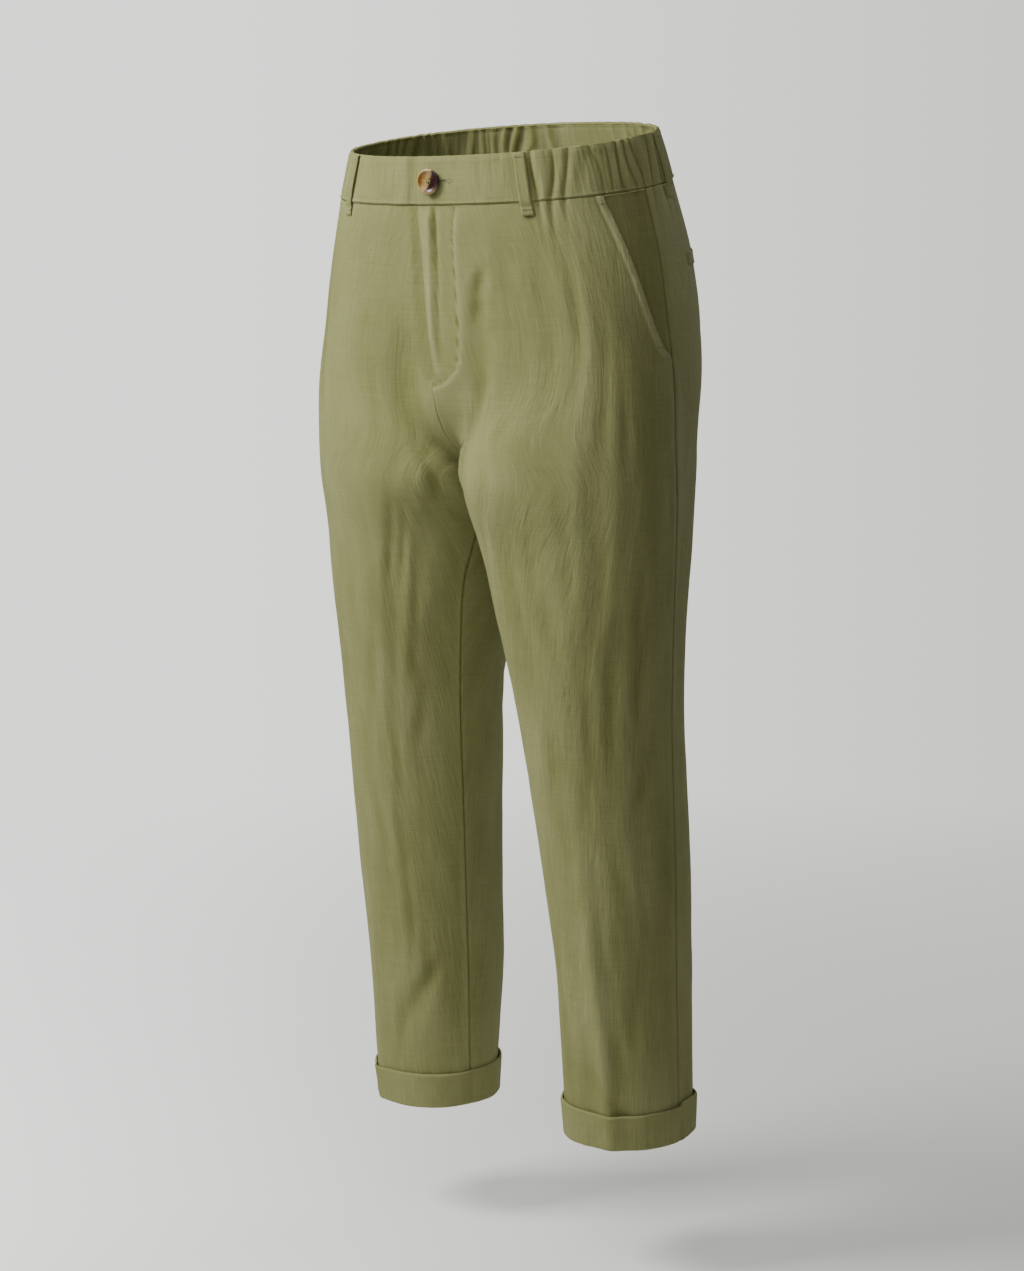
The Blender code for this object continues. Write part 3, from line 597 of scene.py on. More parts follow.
def spreadColumns(span, count, edge=(0.0, 0.0005, 0.0011, 0.0019, 0.0030, 0.0044, 0.0062, 0.0085)):
    # shares from 0 to 1 over a span in metres: close together by both edges, even between
    edge = np.array(edge)[None, :] / span
    middle = np.linspace(0.0, 1.0, count)[None, 1:-1]
    low = edge[:, -1:]
    return np.concatenate([edge, low + (1 - 2 * low) * middle, 1 - edge[:, ::-1]], axis=1)


def paintedReliefShade(relief, slow):
    # painted shade and highlight: how far the cloth stands above its surroundings, as -1 (painted shade) to 1
    # (painted highlight) for a millimetre and a half
    return np.clip((relief - slow) / 0.0015, -1.0, 1.0)


def seamShade(distance):
    # the line of shadow sunk in a seam
    return -1.7 * ridge(distance, 0.0, 0.0008)


def pocketLine(drop):
    # across = top * ((end - drop) / (end - bandHeight))^curve
    left = np.clip((pocket["end"] - drop) / (pocket["end"] - garment["bandHeight"]), 0, 1)
    return pocket["top"] * left ** pocket["curve"]


def acrossAt(x, drop):
    # where the front panel reaches x beside the centre line; the superellipse's sine, inverted
    half, square = torsoAt("half", drop), torsoAt("squareFront", drop)
    degrees = np.degrees(np.arcsin((np.abs(x) / half) ** (0.5 * square)))
    return 1.0 - np.sign(x) * degrees / torsoAt("side", drop)


# half the gap between two panels, as a share of a panel 0.18 wide
seamAcross = 0.5 * garment["seamGap"] / 0.180


def frontEdges(side, drop):
    # across at the pocket or side seam and at the fly's edge or inseam, and how far the fly overlaps, 0 to 1
    inLap = np.interp(drop, [fly["lapEnd"], fly["sinkEnd"]], [1.0, 0.0])
    lap = np.interp(drop, [garment["bandHeight"], fly["lapEnd"]], [fly["overlap"], fly["overlapEnd"]])
    lap = lap if side > 0 else fly["underlap"]
    half = 0.5 * garment["seamGap"]
    edge = acrossAt(half - inLap * (lap + half), drop)
    edge = np.where(drop > fly["end"], 1.0 - seamAcross, edge)
    return pocketLine(drop) + seamAcross, edge, inLap


# the J of the fly's topstitching and the crease beside its edge, as (metres from the centre, drop)
flyStitch = np.array([(0.040, 0.049), (0.0365, 0.082), (0.0365, 0.118), (0.037, 0.164), (0.0355, 0.186),
                      (0.034, 0.198), (0.030, 0.209), (0.023, 0.217), (0.014, 0.2225), (0.005, 0.226),
                      (0.0005, 0.2275)])
flyCrease = np.array([(0.0150, 0.050), (0.0150, 0.070), (0.0145, 0.090), (0.0140, 0.110), (0.0127, 0.135),
                      (0.0115, 0.160), (0.0113, 0.180), (0.0120, 0.198), (0.0126, 0.208)])
flyRelief = dict(step=0.0018, groove=0.0008, pucker=0.00009, puckers=24, strip=0.0044, trough=0.0030,
                 lip=0.0008)


def throughPoints(points, count):
    # Catmull-Rom curve through the points, read evenly by its chord lengths
    points = np.asarray(points, float)
    padded = np.vstack([2 * points[0] - points[1], points, 2 * points[-1] - points[-2]])
    s = np.linspace(0, len(points) - 1 - 1e-9, 40 * len(points))
    i = s.astype(int)
    t = (s - i)[:, None]
    a, b, c, d = padded[i], padded[i + 1], padded[i + 2], padded[i + 3]
    curve = 0.5 * (2 * b + (c - a) * t + (2 * a - 5 * b + 4 * c - d) * t ** 2
                   + (3 * b - a - 3 * c + d) * t ** 3)
    length = np.concatenate([[0], np.cumsum(np.linalg.norm(np.diff(curve, axis=0), axis=1))])
    even = np.linspace(0, length[-1], count)
    return np.stack([np.interp(even, length, curve[:, k]) for k in range(curve.shape[1])], -1)


def besideLine(x, drop, line):
    # signed distance from a line of short pieces, and the share of its length at the nearest point
    a, b = line[:-1], line[1:]
    run = b - a
    awayX, awayD = x[..., None] - a[:, 0], drop[..., None] - a[:, 1]
    t = np.clip((awayX * run[:, 0] + awayD * run[:, 1]) / (run ** 2).sum(1), 0, 1)
    gapX, gapD = awayX - t * run[:, 0], awayD - t * run[:, 1]
    distance = np.hypot(gapX, gapD)
    nearest = distance.argmin(-1)[..., None]
    sign = np.sign(np.take_along_axis(gapX * run[:, 1] - gapD * run[:, 0], nearest, -1))
    share = (nearest + np.take_along_axis(t, nearest, -1)) / len(a)
    return (sign * np.take_along_axis(distance, nearest, -1))[..., 0], share[..., 0]


def besideFly(across, drop):
    # distance from the fly's stitching and share of its length, then the same for the crease
    x = form("front", 1, across, drop)[..., 0]
    return (*besideLine(x, drop, throughPoints(flyStitch, 60)),
            *besideLine(x, drop, throughPoints(flyCrease, 40)))


# a pressed seam edge: turned in at the very edge, with the allowance showing as a swelling beside it
seamEdge = dict(turn=0.00055, reach=0.0008, swell=0.00030, swellAt=0.0034, swellReach=0.0026, bandTurn=0.0001)


def seamSwell(distance):
    # swell * ridge(distance, swellAt, swellReach)
    return seamEdge["swell"] * ridge(distance, seamEdge["swellAt"], seamEdge["swellReach"])


def pocketRelief(fromStart, drop):
    # the hem: doubled cloth with a dimple at each stitch, standing off the facing
    t = np.clip((drop - garment["bandHeight"]) / (pocket["end"] - garment["bandHeight"]), 0, 1)
    doubled = smooth((pocket["hemWidth"] + 0.0006 - fromStart) / 0.0014)
    dimples = 0.5 + 0.5 * np.sin(2 * math.pi * drop / pocket["dimplePitch"] + 2.5 * np.sin(drop * 170.0))
    height = doubled * (pocket["hemRise"] + pocket["dimple"] * dimples)
    height += rolled(fromStart - pocket["hemWidth"], 0.0010, 0.0011)
    return height + pocket["gape"] * np.sin(math.pi * t) ** 0.8 * ridge(fromStart, 0.0, pocket["gapeReach"])


def flyHeight(across, drop):
    # a soft step down at the stitching with a groove and puckers in it; a strip between the edge and the
    # crease, then the crease's trough and its lip
    r = flyRelief
    beside, along, fromCrease, down = besideFly(across, drop)
    step = smooth((beside + 0.0004) / 0.0036) * ridge(beside, 0.0, 0.0110) * smooth(8 * along + 0.3)
    height = r["step"] * step + rolled(beside, r["groove"], 0.0011)
    pucker = np.sin(2 * math.pi * along * r["puckers"] + 3.0 * np.sin(11 * along))
    height += r["pucker"] * pucker * smooth((along - 0.03) * 6) * ridge(beside, 0.003, 0.0045)
    fade = smooth(9 * down + 0.3) * smooth(4.0 * (1 - down) + 0.3) * (1.0 - 0.45 * down)
    strip = (1 - smooth((fromCrease + 0.0046) / 0.0046)) * ridge(fromCrease, 0.0, 0.0105)
    return height + fade * (r["strip"] * strip - r["trough"] * ridge(fromCrease, 0.0002, 0.0022)
                            + r["lip"] * ridge(fromCrease, 0.0062, 0.0036))


def frontRelief(side, across, drop):
    # the panel's relief + turned edges + the pocket's hem + the fly's stitching and crease
    start, edge, inLap = frontEdges(side, drop)
    width = panelWidth("front", drop)
    fromStart, fromEdge = (across - start) * width, (edge - across) * width
    onPocket = smooth((pocket["end"] + 0.004 - drop) / 0.010)
    inseam = smooth((drop - garment["crotch"]) / 0.02)
    height = panelRelief("front", side, across, drop)
    height += rolled(fromStart, seamEdge["turn"], seamEdge["reach"])
    height += rolled(fromEdge, 0.00020, 0.0007) * (1 + 3.5 * inLap + 1.8 * inseam)
    height += seamSwell(fromStart) * (1 - onPocket)
    height += 0.00040 * (inLap + inseam) * ridge(fromEdge, 0.0030, 0.0022)
    height += rolled(drop - garment["bandHeight"], seamEdge["bandTurn"], 0.0010)
    height += onPocket * pocketRelief(fromStart, drop)
    return height + flyHeight(across, drop) if side > 0 else height


def sinkRight(side, across, drop):
    # the right front steps down under the fly's overlap, and further past the centre line, clear of the
    # crease in the left front
    if side > 0:
        return np.zeros_like(across)
    foot = acrossAt(fly["overlap"] + fly["stepClear"], drop)
    head = acrossAt(fly["overlap"] + fly["stepClear"] + fly["step"], drop)
    ended = np.interp(drop, [fly["sinkEnd"], fly["end"]], [1.0, 0.0])
    past = (across - 1.0) * panelWidth("front", drop)
    depth = garment["wall"] + 2 * garment["gap"] + fly["extraSink"]
    depth = depth + fly["centreSink"] * smooth(past / fly["centreOver"])
    return -depth * smooth((across - head) / (foot - head)) * ended


def movedOut(panel, side, across, drop, height):
    # the form moved out by a height; on the centre seams it keeps to the middle plane
    moved = outward(panel, side, across, drop) * height[..., None]
    apart = smooth((drop - garment["crotch"] + 0.010) / 0.020)
    moved[..., 0] *= apart + (1.0 - apart) * centreFree(panel, across, drop, 0.006)
    return form(panel, side, across, drop) + moved


def onFront(side, across, drop, lift=0.0):
    # points of the front's outer face
    across, drop = np.broadcast_arrays(np.asarray(across, float), np.asarray(drop, float))
    relief = frontRelief(side, across, drop) + sinkRight(side, across, drop)
    points = movedOut("front", side, across, drop, relief + lift)
    inLap = frontEdges(side, drop)[2]
    keep = side * np.maximum(side * points[..., 0], 0.5 * garment["seamGap"])
    points[..., 0] = np.where((inLap > 0) & (across > 1.0), points[..., 0], keep)
    return points, relief


def backRelief(side, across, drop):
    # the panel's relief + a pressed edge along the side seam and the centre seam
    width = panelWidth("back", drop)
    height = panelRelief("back", side, across, drop)
    for distance in (across * width, (1.0 - across) * width):
        height += rolled(distance, seamEdge["turn"], seamEdge["reach"]) + seamSwell(distance)
    return height + rolled(drop - garment["bandHeight"], seamEdge["bandTurn"], 0.0010)


def onBack(side, across, drop, lift=0.0):
    # points of the back's outer face
    across, drop = np.broadcast_arrays(np.asarray(across, float), np.asarray(drop, float))
    relief = backRelief(side, across, drop)
    points = movedOut("back", side, across, drop, relief + lift)
    points[..., 0] = side * np.maximum(side * points[..., 0], 0.5 * garment["seamGap"])
    return points, relief


def levels(top, bottom, step):
    # drops from top to bottom, closer together by the top
    start = top + np.array([0.0, 0.0006, 0.0014, 0.0025, 0.0040])
    return np.concatenate([start, np.linspace(0.0065 + top, bottom, int((bottom - top) / step))])[:, None]


panelGrid = dict(step=0.0031, columns=92, slowShare=0.8)


def panelDrops():
    # from under the band to the leg's edge
    bottom = garment["hem"] - garment["legEdge"] - garment["gap"]
    return levels(garment["bandHeight"] + garment["gap"], bottom, panelGrid["step"])


def finePaintedShade(panel, side, across, drop, relief):
    # the relief without most of its broad folds, as painted shade in its hollows and painted highlight on its
    # ridges
    return paintedReliefShade(relief, creaseHeight(folds, panel, side, across, drop, 0.0) * panelGrid["slowShare"])


def frontPiece(side):
    # across runs from the pocket or side seam to the fly or inseam; painted shadow in the seams, the fly's
    # stitching and crease, and painted highlight on the pocket's hem and beside the seams
    drop = panelDrops()
    start, edge, inLap = frontEdges(side, drop)
    width = panelWidth("front", drop)
    across = start + (edge - start) * spreadColumns((edge - start) * width, panelGrid["columns"])
    drop = np.broadcast_to(drop, across.shape)
    points, relief = onFront(side, across, drop)
    fromStart, fromEdge = (across - start) * width, (edge - across) * width
    # painted shade in the relief's hollows and painted highlight on its ridges
    tone = finePaintedShade("front", side, across, drop, relief)
    # painted shadow along the side seam below the pocket
    tone = tone + seamShade(fromStart) * (drop > pocket["end"] - 0.004)
    # painted highlight on the pocket's hem
    tone = tone + 0.9 * smooth((pocket["hemWidth"] - fromStart) / 0.001) * (drop < pocket["end"])
    # on the left front: painted shadow along the fly's stitching and in its crease, painted highlight beside
    # the stitching
    if side > 0:
        beside, _, fromCrease, down = besideFly(across, drop)
        tone = tone + 1.2 * seamShade(beside + 0.0003) + 0.2 * ridge(beside, 0.0036, 0.0026)
        tone = tone - 1.5 * (1.0 - 0.6 * down) * smooth(6 * (1 - down)) * ridge(fromCrease, -0.0010, 0.0019)
    # painted shadow along the fly's edge and the inseam, with a painted highlight beside it
    onSeam = np.clip(inLap + smooth((drop - garment["crotch"]) / 0.02), 0, 1)
    tone = tone + onSeam * (seamShade(fromEdge) + 0.6 * ridge(fromEdge, 0.0026, 0.0011))
    return addSheet(f"front_{sideNames[side]}_linen", points, np.stack([across * width, drop], -1), tone,
                    side < 0, garment["wall"])


def backPiece(side):
    # across runs from the side seam to the centre seam and inseam, with painted shadow along both
    drop = panelDrops()
    width = panelWidth("back", drop)
    across = seamAcross + (1.0 - 2.0 * seamAcross) * spreadColumns(width, panelGrid["columns"])
    drop = np.broadcast_to(drop, across.shape)
    points, relief = onBack(side, across, drop)
    # painted shade in the relief's hollows and painted highlight on its ridges; painted shadow along both
    # seams below
    tone = finePaintedShade("back", side, across, drop, relief)
    tone = tone + seamShade(across * width) + seamShade((1 - across) * width)
    return addSheet(f"back_{sideNames[side]}_linen", points, np.stack([across * width + 0.5, drop], -1), tone,
                    side > 0, garment["wall"])


panelPieces = {}
for sign in (1, -1):
    panelPieces["front", sign] = frontPiece(sign)
    panelPieces["back", sign] = backPiece(sign)
print("leg panels made")


# pocket facings, behind the slant openings
def facing(side):
    # a slip of the form inset under the pocket's hem, level with the front at the side seam; its tone is
    # painted shade, darker all over as under the hem, with painted shadow along the side seam
    drop = levels(garment["bandHeight"] + garment["gap"], pocket["end"] + pocket["facingBelow"], 0.0030)
    width = panelWidth("front", drop)
    line = pocketLine(drop)
    span = line + pocket["facingLap"] - seamAcross
    across = seamAcross + span * spreadColumns(span * width, 26)
    drop = np.broadcast_to(drop, across.shape)
    fromSeam = (across - seamAcross) * width
    height = panelRelief("front", side, across, drop, 0.12)
    height += rolled(fromSeam, 0.0006, 0.0009) + seamSwell(fromSeam)
    height += rolled(drop - garment["bandHeight"], seamEdge["bandTurn"], 0.0010)
    under, free = smooth((across - line + 0.012) / 0.016), smooth((fromSeam - 0.001) / 0.010)
    inset = (garment["wall"] + 0.0012) * under + 0.0012 * (1 - under) * free
    inset += 0.0012 * ridge((across - line) * width, 0.0, 0.009) * free * smooth((0.190 - drop) / 0.03)
    points = form("front", side, across, drop)
    points = points + outward("front", side, across, drop) * (height - inset)[..., None]
    # painted shade: the whole facing darker as under the pocket's hem, a weak painted shade and highlight
    # from its relief, and painted shadow along the side seam
    tone = paintedReliefShade(height, 0.0) * 0.4 - 0.85 + seamShade(fromSeam)
    return addSheet(f"pocket_facing_{sideNames[side]}_linen", points,
                    np.stack([across * width + 1.1, drop], -1), tone, side < 0, garment["wall"])


facings = {sign: facing(sign) for sign in (1, -1)}
print("pocket facings made")

# waistband; stitchUp and topStitch are the rows' distances from its bottom and top edges
band = dict(seam=0.07, overlap=0.0066, underlap=0.026, stitchUp=0.0022, topStitch=0.0024, rows=26,
            radius=0.150, sideLoop=107.0, loopPinch=0.55, loopReach=3.2, lapFrom=4.5, lapOver=3.5,
            seamRoll=0.0012, topRoll=0.0009, pucker=0.00060, puckerFrom=14.0, slowPucker=0.00035,
            valleyTone=1.3, lapTone=1.6, clearOfLoop=2.5)
metresPerDegree = 0.0026  # along the band


def around(degrees, drop, stand):
    # points of the form by the angle round the waist from the front, positive to the left, moved out by stand
    turned = (np.asarray(degrees, float) + 180.0) % 360.0 - 180.0
    side = np.where(turned < 0, -1, 1)
    turned, drop, stand, side = np.broadcast_arrays(np.abs(turned), drop, stand, side)
    seam = torsoAt("side", drop)
    points = np.zeros(turned.shape + (3,))
    for panel in ("front", "back"):
        for sign in (1, -1):
            here = (side == sign) & ((turned < seam) == (panel == "front"))
            across = 1 - turned / seam if panel == "front" else (turned - seam) / (180 - seam)
            moved = form(panel, sign, across, drop) + outward(panel, sign, across, drop) * stand[..., None]
            points[here] = moved[here]
    return points


def bandDegrees(x):
    # degrees round the band at which it is x beside the centre line
    return 90.0 * (1.0 - acrossAt(np.asarray(x, float), 0.5 * garment["bandHeight"]))


def bandRelief(degrees, drop):
    # turned edges at the top and the seam, a ridge above the seam's topstitching, faint puckers on the
    # flat front, and the elastic's gathers behind, pinched at the seams and the loops
    height, reach = garment["bandHeight"], (degrees + 180.0) % 360.0 - 180.0
    relief = rolled(drop, band["topRoll"], 0.0009) + rolled(height - drop, band["seamRoll"], 0.0014)
    relief += 0.0005 * ridge(height - drop, 0.0022, 0.0016) + rolled(height - drop - 0.0044, 0.00030, 0.0008)
    relief += rolled(drop - band["topStitch"], 0.00035, 0.0006) + 0.0003 * ridge(drop, 0.0046, 0.0016)
    flat = 1.0 - smooth((np.abs(reach) - elasticFrom) / 7.0)
    u = np.radians(reach) * 0.148
    nearLoop = smooth((np.abs(reach) - band["puckerFrom"]) / 14.0)
    relief += flat * band["pucker"] * softNoise(u, drop, 0.0065, 0.026, 61) * (0.15 + nearLoop)
    relief += flat * band["slowPucker"] * softNoise(u, drop, 0.028, 0.020, 62)
    full = 0.72 + 0.28 * np.sin(math.pi * np.clip(drop / height, 0, 1))
    ease = 1.0
    for loop in (band["sideLoop"], 180.0, 360.0 - band["sideLoop"]):
        ease = ease - band["loopPinch"] * ridge(degrees % 360.0, loop, band["loopReach"])
    return relief + gatherSetup["depth"] * full * ease * gatherWave(degrees, drop)


def underLap(degrees):
    # the right end steps down behind the left one by a wall and a gap
    past = degrees + bandDegrees(band["overlap"]) + band["lapFrom"]
    return (garment["bandWall"] + 2 * garment["gap"]) * smooth(past / band["lapOver"])


def bandPiece(name, first, last, columns, sink=None):
    # from first to last degrees round the waist, turned in at both ends; painted shade in the pleats' valleys
    # and along the lapped end
    ends, edge = np.array([0.0, 0.18, 0.42, 0.80]), np.array([0.0, 0.0005, 0.0011, 0.0019, 0.0030])
    degrees = np.concatenate([first + ends, np.linspace(first + 1.3, last - 1.3, columns),
                              last - ends[::-1]])[None, :]
    height = garment["bandHeight"]
    drop = np.concatenate([edge, np.linspace(0.0045, height - 0.0045, band["rows"]),
                           height - edge[::-1]])[:, None]
    degrees, drop = np.broadcast_arrays(degrees, drop)
    relief = bandRelief(degrees, drop)
    for end in (first, last):
        relief = relief + rolled((degrees - end) * metresPerDegree, 0.0009, 0.0012)
    points = around(degrees, drop, garment["bandProud"] + relief - (0.0 if sink is None else sink(degrees)))
    # painted shade and highlight from the relief, and painted shade in the gathers' valleys
    tone = paintedReliefShade(relief, 0.0) - band["valleyTone"] * smooth(-1.6 * gatherWave(degrees, drop) - 0.3)
    # painted shade at the piece's first end
    tone = tone - band["lapTone"] * ridge((degrees - first) * metresPerDegree, 0.0, 0.0011)
    # on the right end: painted shade on the under end beside the lapping edge
    if sink is not None:
        past = np.minimum(degrees + bandDegrees(band["overlap"]), 0.0)
        tone = tone - band["lapTone"] * ridge(past, 0.0, 0.55)
    cut = np.stack([np.radians(degrees) * band["radius"] + 2.0, drop], -1)
    return addSheet(name, points, cut, tone, True, garment["bandWall"], material=linenInner)


bandLeft = bandPiece("waistband_left_linen", bandDegrees(-band["overlap"]), elasticFrom - band["seam"], 78)
bandRight = bandPiece("waistband_right_linen", band["seam"] - elasticFrom, bandDegrees(band["underlap"]), 84,
                      underLap)
bandBack = bandPiece("waistband_back_linen", elasticFrom + band["seam"], 360 - elasticFrom - band["seam"],
                     620)
print("waistband made")

# belt loops
loops = dict(width=0.0115, top=0.0006, end=0.060, wall=0.0012, bow=0.0010, edgeRise=0.0002, footTurn=0.0088)


def loopPoints(at, across, drop, lift=0.0):
    # a strip over the band: stand = band or panel + wall + bow * sin^2(pi t), a little proud along its
    # edges, and turned under at the foot
    sides = around(at + np.array([-1.5, 1.5]), 0.5 * garment["bandHeight"], garment["bandProud"])
    half = 1.5 * loops["width"] / np.linalg.norm(sides[1] - sides[0])
    t = np.clip((drop - loops["top"]) / (loops["end"] - loops["top"]), 0, 1)
    below = smooth((drop - garment["bandHeight"] + 0.001) / 0.0085)
    fromEdge = (1.0 - np.abs(across)) * 0.5 * loops["width"]
    stand = (garment["bandProud"] + 0.0012) * (1 - below) + 0.0004 * below
    stand = stand + loops["wall"] + loops["bow"] * np.sin(math.pi * t) ** 2
    stand = stand + rolled(fromEdge, 0.0005, 0.0007) + loops["edgeRise"] * ridge(fromEdge, 0.0019, 0.0009)
    stand = stand + rolled(drop - loops["top"], 0.0010, 0.0009) + rolled(loops["end"] - drop, 0.0007, 0.0009)
    stand = stand + 0.0006 * smooth((drop - loops["end"] + 0.0095) / 0.002)
    stand = stand + rolled(drop - loops["end"] + loops["footTurn"], 0.0005, 0.0008)
    stand = stand + 0.0002 * softNoise(across * 0.006 + at, drop, 0.004, 0.012, 71)
    waver = 0.10 * softNoise(drop * 0.0 + at, drop, 1.0, 0.022, 72)
    return around(at + half * (across + waver), drop, stand + lift)


def beltLoop(name, at):
    # share runs over the strip's width from -1 to 1
    side = np.array([0.25, 0.5, 0.68, 0.82, 0.93, 1.0])
    share = np.concatenate([-side[::-1], [0.0], side])[None, :]
    edge = np.array([0.0, 0.0005, 0.0012, 0.0021])
    drop = np.concatenate([loops["top"] + edge, np.linspace(0.0042, loops["end"] - 0.0034, 40),
                           loops["end"] - edge[::-1]])[:, None]
    share, drop = np.broadcast_arrays(share, drop)
    cut = np.stack([share * 0.5 * loops["width"] + 3.0 + 0.01 * at, drop], -1)
    return addSheet(name, loopPoints(at, share, drop), cut, np.zeros(share.shape), True, loops["wall"],
                    material=linenInner)


loopPlaces = {"belt_loop_front_left": elasticFrom, "belt_loop_front_right": -elasticFrom,
              "belt_loop_side_left": band["sideLoop"], "belt_loop_side_right": -band["sideLoop"],
              "belt_loop_back": 180.0}
loopPieces = {name: beltLoop(name + "_linen", at) for name, at in loopPlaces.items()}
print("belt loops made")

# back pocket welts
welt = dict(height=0.013, drop=0.107, first=0.19, last=0.62, wall=0.0022, stand=0.0013, length=0.075)


def weltPoints(side, share, down, lift=0.0):
    # a flat doubled strip on the back panel, rounded along its edges and open along the top
    width = panelWidth("back", welt["drop"]) * (welt["last"] - welt["first"])
    across = welt["first"] + (welt["last"] - welt["first"]) * share
    drop = welt["drop"] + welt["height"] * down
    fromEnd = np.minimum(share, 1 - share) * width
    fromTop, fromBottom = down * welt["height"], (1 - down) * welt["height"]
    stand = welt["stand"] + rolled(fromEnd, 0.0013, 0.0022) + rolled(fromBottom, 0.0010, 0.0014)
    stand = stand + rolled(fromTop, 0.0004, 0.0009)
    stand = stand + 0.0002 * softNoise(share * width, drop, 0.012, 0.006, 75)
    return onBack(side, across, drop, stand + lift)[0]


def weltPiece(side):
    # share runs along the strip and down over its height, both 0 to 1
    share = spreadColumns(np.array([[welt["length"]]]), 44)
    down = spreadColumns(np.array([[welt["height"]]]), 8, (0.0, 0.0005, 0.0011, 0.0019)).T
    share, down = np.broadcast_arrays(share, down)
    cut = np.stack([share * welt["length"] + 4.0 + side, welt["drop"] + welt["height"] * down], -1)
    return addSheet(f"back_welt_{sideNames[side]}_linen", weltPoints(side, share, down), cut,
                    np.zeros(share.shape), side > 0, welt["wall"], material=linenInner)


welts = {sign: weltPiece(sign) for sign in (1, -1)}
print("welts made")

# turned-up hems; girth is half the way round, as cut
cuff = dict(height=0.036, stand=0.0032, columns=128, flare=0.0004, girth=0.19, topIn=0.0022)


def cuffPoints(side, ring, up, stand):
    # the hem carried round under the leg and up outside: (up, stand) is a profile over the leg's own ring,
    # whose share runs 0 to 1 over the front and on to 2 over the back
    front = ring < 1.0
    drop = garment["hem"] - up
    outside = smooth((stand + 0.0002) / garment["wall"])
    u = ring * cuff["girth"] + side
    soft = 0.0009 * softNoise(u, up, 0.026, 0.05, 81) + 0.0005 * softNoise(u, up, 0.011, 0.02, 82)
    points = np.zeros(ring.shape + (3,))
    for panel, mask, across in (("front", front, ring), ("back", ~front, 2.0 - ring)):
        relief = panelRelief(panel, side, across, garment["hem"] - np.minimum(up, 0.012)) + outside * soft
        for seamAt in (0.0, 1.0):
            beside = np.abs(across - seamAt) * panelWidth(panel, garment["hem"])
            groove = rolled(beside, 0.0006, 0.0011) + 0.0003 * ridge(beside, 0.0040, 0.0028)
            relief = relief + outside * groove
        moved = form(panel, side, across, drop)
        moved = moved + outward(panel, side, across, drop) * (stand + relief)[..., None]
        points[mask] = moved[mask]
    return points


def cuffProfile():
    # from the leg's edge down inside, round the bottom fold, up outside and in over the top edge
    wall, outer = garment["wall"], cuff["stand"] + cuff["flare"]
    radius, middle = 0.5 * (cuff["stand"] + wall), 0.5 * (cuff["stand"] - wall)
    turned = np.radians(np.linspace(180, 360, 11))
    rise = np.linspace(radius, cuff["height"] - 0.0035, 16)[1:]
    up = np.concatenate([[garment["legEdge"]], radius * (1 + np.sin(turned)), rise,
                         cuff["height"] - np.array([0.0026, 0.0017, 0.0009, 0.0004, 0.0])])
    stand = np.concatenate([[-wall], middle + radius * np.cos(turned),
                            cuff["stand"] + cuff["flare"] * np.linspace(0, 1, len(rise)),
                            outer - np.array([0.0, 0.0001, 0.0004, 0.0011, cuff["topIn"]])])
    return up[:, None], stand[:, None]


def cuffPiece(side):
    # the profile carried round the leg, its columns closer together by the seams; the height wavers a little
    up, stand = cuffProfile()
    half = np.linspace(0.0, 1.0, cuff["columns"] // 2 + 1)
    half = half - 0.05 * np.sin(2 * math.pi * half)
    ring = np.concatenate([half[:-1], 1.0 + half[:-1]])[None, :]
    ring, up, stand = np.broadcast_arrays(ring, up, stand)
    waver = 1.0 + 0.05 * softNoise(ring * cuff["girth"] + side, ring * 0, 0.045, 1.0, 83)
    length = np.cumsum(np.concatenate([[0], np.hypot(np.diff(up[:, 0]), np.diff(stand[:, 0]))]))[:, None]
    cut = np.stack([ring * cuff["girth"] + 5.0, length + np.zeros_like(ring)], -1)
    return addSheet(f"cuff_{sideNames[side]}_linen", cuffPoints(side, ring, up * waver, stand), cut,
                    np.zeros(ring.shape), side > 0, garment["wall"], ring=True)


cuffs = {sign: cuffPiece(sign) for sign in (1, -1)}
print("turn-ups made")

# topstitching: each stitch a small capsule that dips into the cloth at both ends; lean is a tack's slant
stitching = dict(pitch=0.0030, finePitch=0.0027, fill=0.70, radius=0.00030, fine=0.00024, tack=0.00022,
                 tackWidth=0.0016, lean=0.6, sides=6)


def capsules(first, last, up, radius):
    # rings at t along first to last, radius * swell(t) wide and radius * dip(t) high
    t = np.array([-0.04, 0.10, 0.35, 0.65, 0.90, 1.04])
    swell = np.array([0.30, 0.85, 1.0, 1.0, 0.85, 0.30])
    dip = np.array([-1.1, 0.10, 0.55, 0.55, 0.10, -1.1])
    along = last - first
    aside = np.cross(along, up)
    aside /= np.linalg.norm(aside, axis=-1, keepdims=True)
    angle = np.linspace(0, 2 * math.pi, stitching["sides"] + 1)[:-1]
    centre = first[:, None] + along[:, None] * t[None, :, None] + radius * dip[None, :, None] * up[:, None]
    circle = (np.cos(angle)[:, None] * aside[:, None, None, :]
              + np.sin(angle)[:, None] * up[:, None, None, :])
    points = centre[:, :, None, :] + radius * swell[None, :, None, None] * circle
    count, rings, sides = points.shape[:3]
    wall = gridFaces(rings, sides, ring=True)
    offsets = (np.arange(count) * rings * sides)[:, None, None]
    walls = (wall[None] + offsets).reshape(-1, 4)
    ends = np.stack([np.arange(sides)[::-1], (rings - 1) * sides + np.arange(sides)])
    ends = (ends[None] + offsets).reshape(-1, sides)
    return points.reshape(-1, 3), walls.tolist() + ends.tolist()


def standing(surface, a, b):
    # the surface's points and the unit way out of it there
    at = surface(a, b, 0.0)
    up = surface(a, b, 0.001) - at
    return at, up / np.linalg.norm(up, axis=-1, keepdims=True)


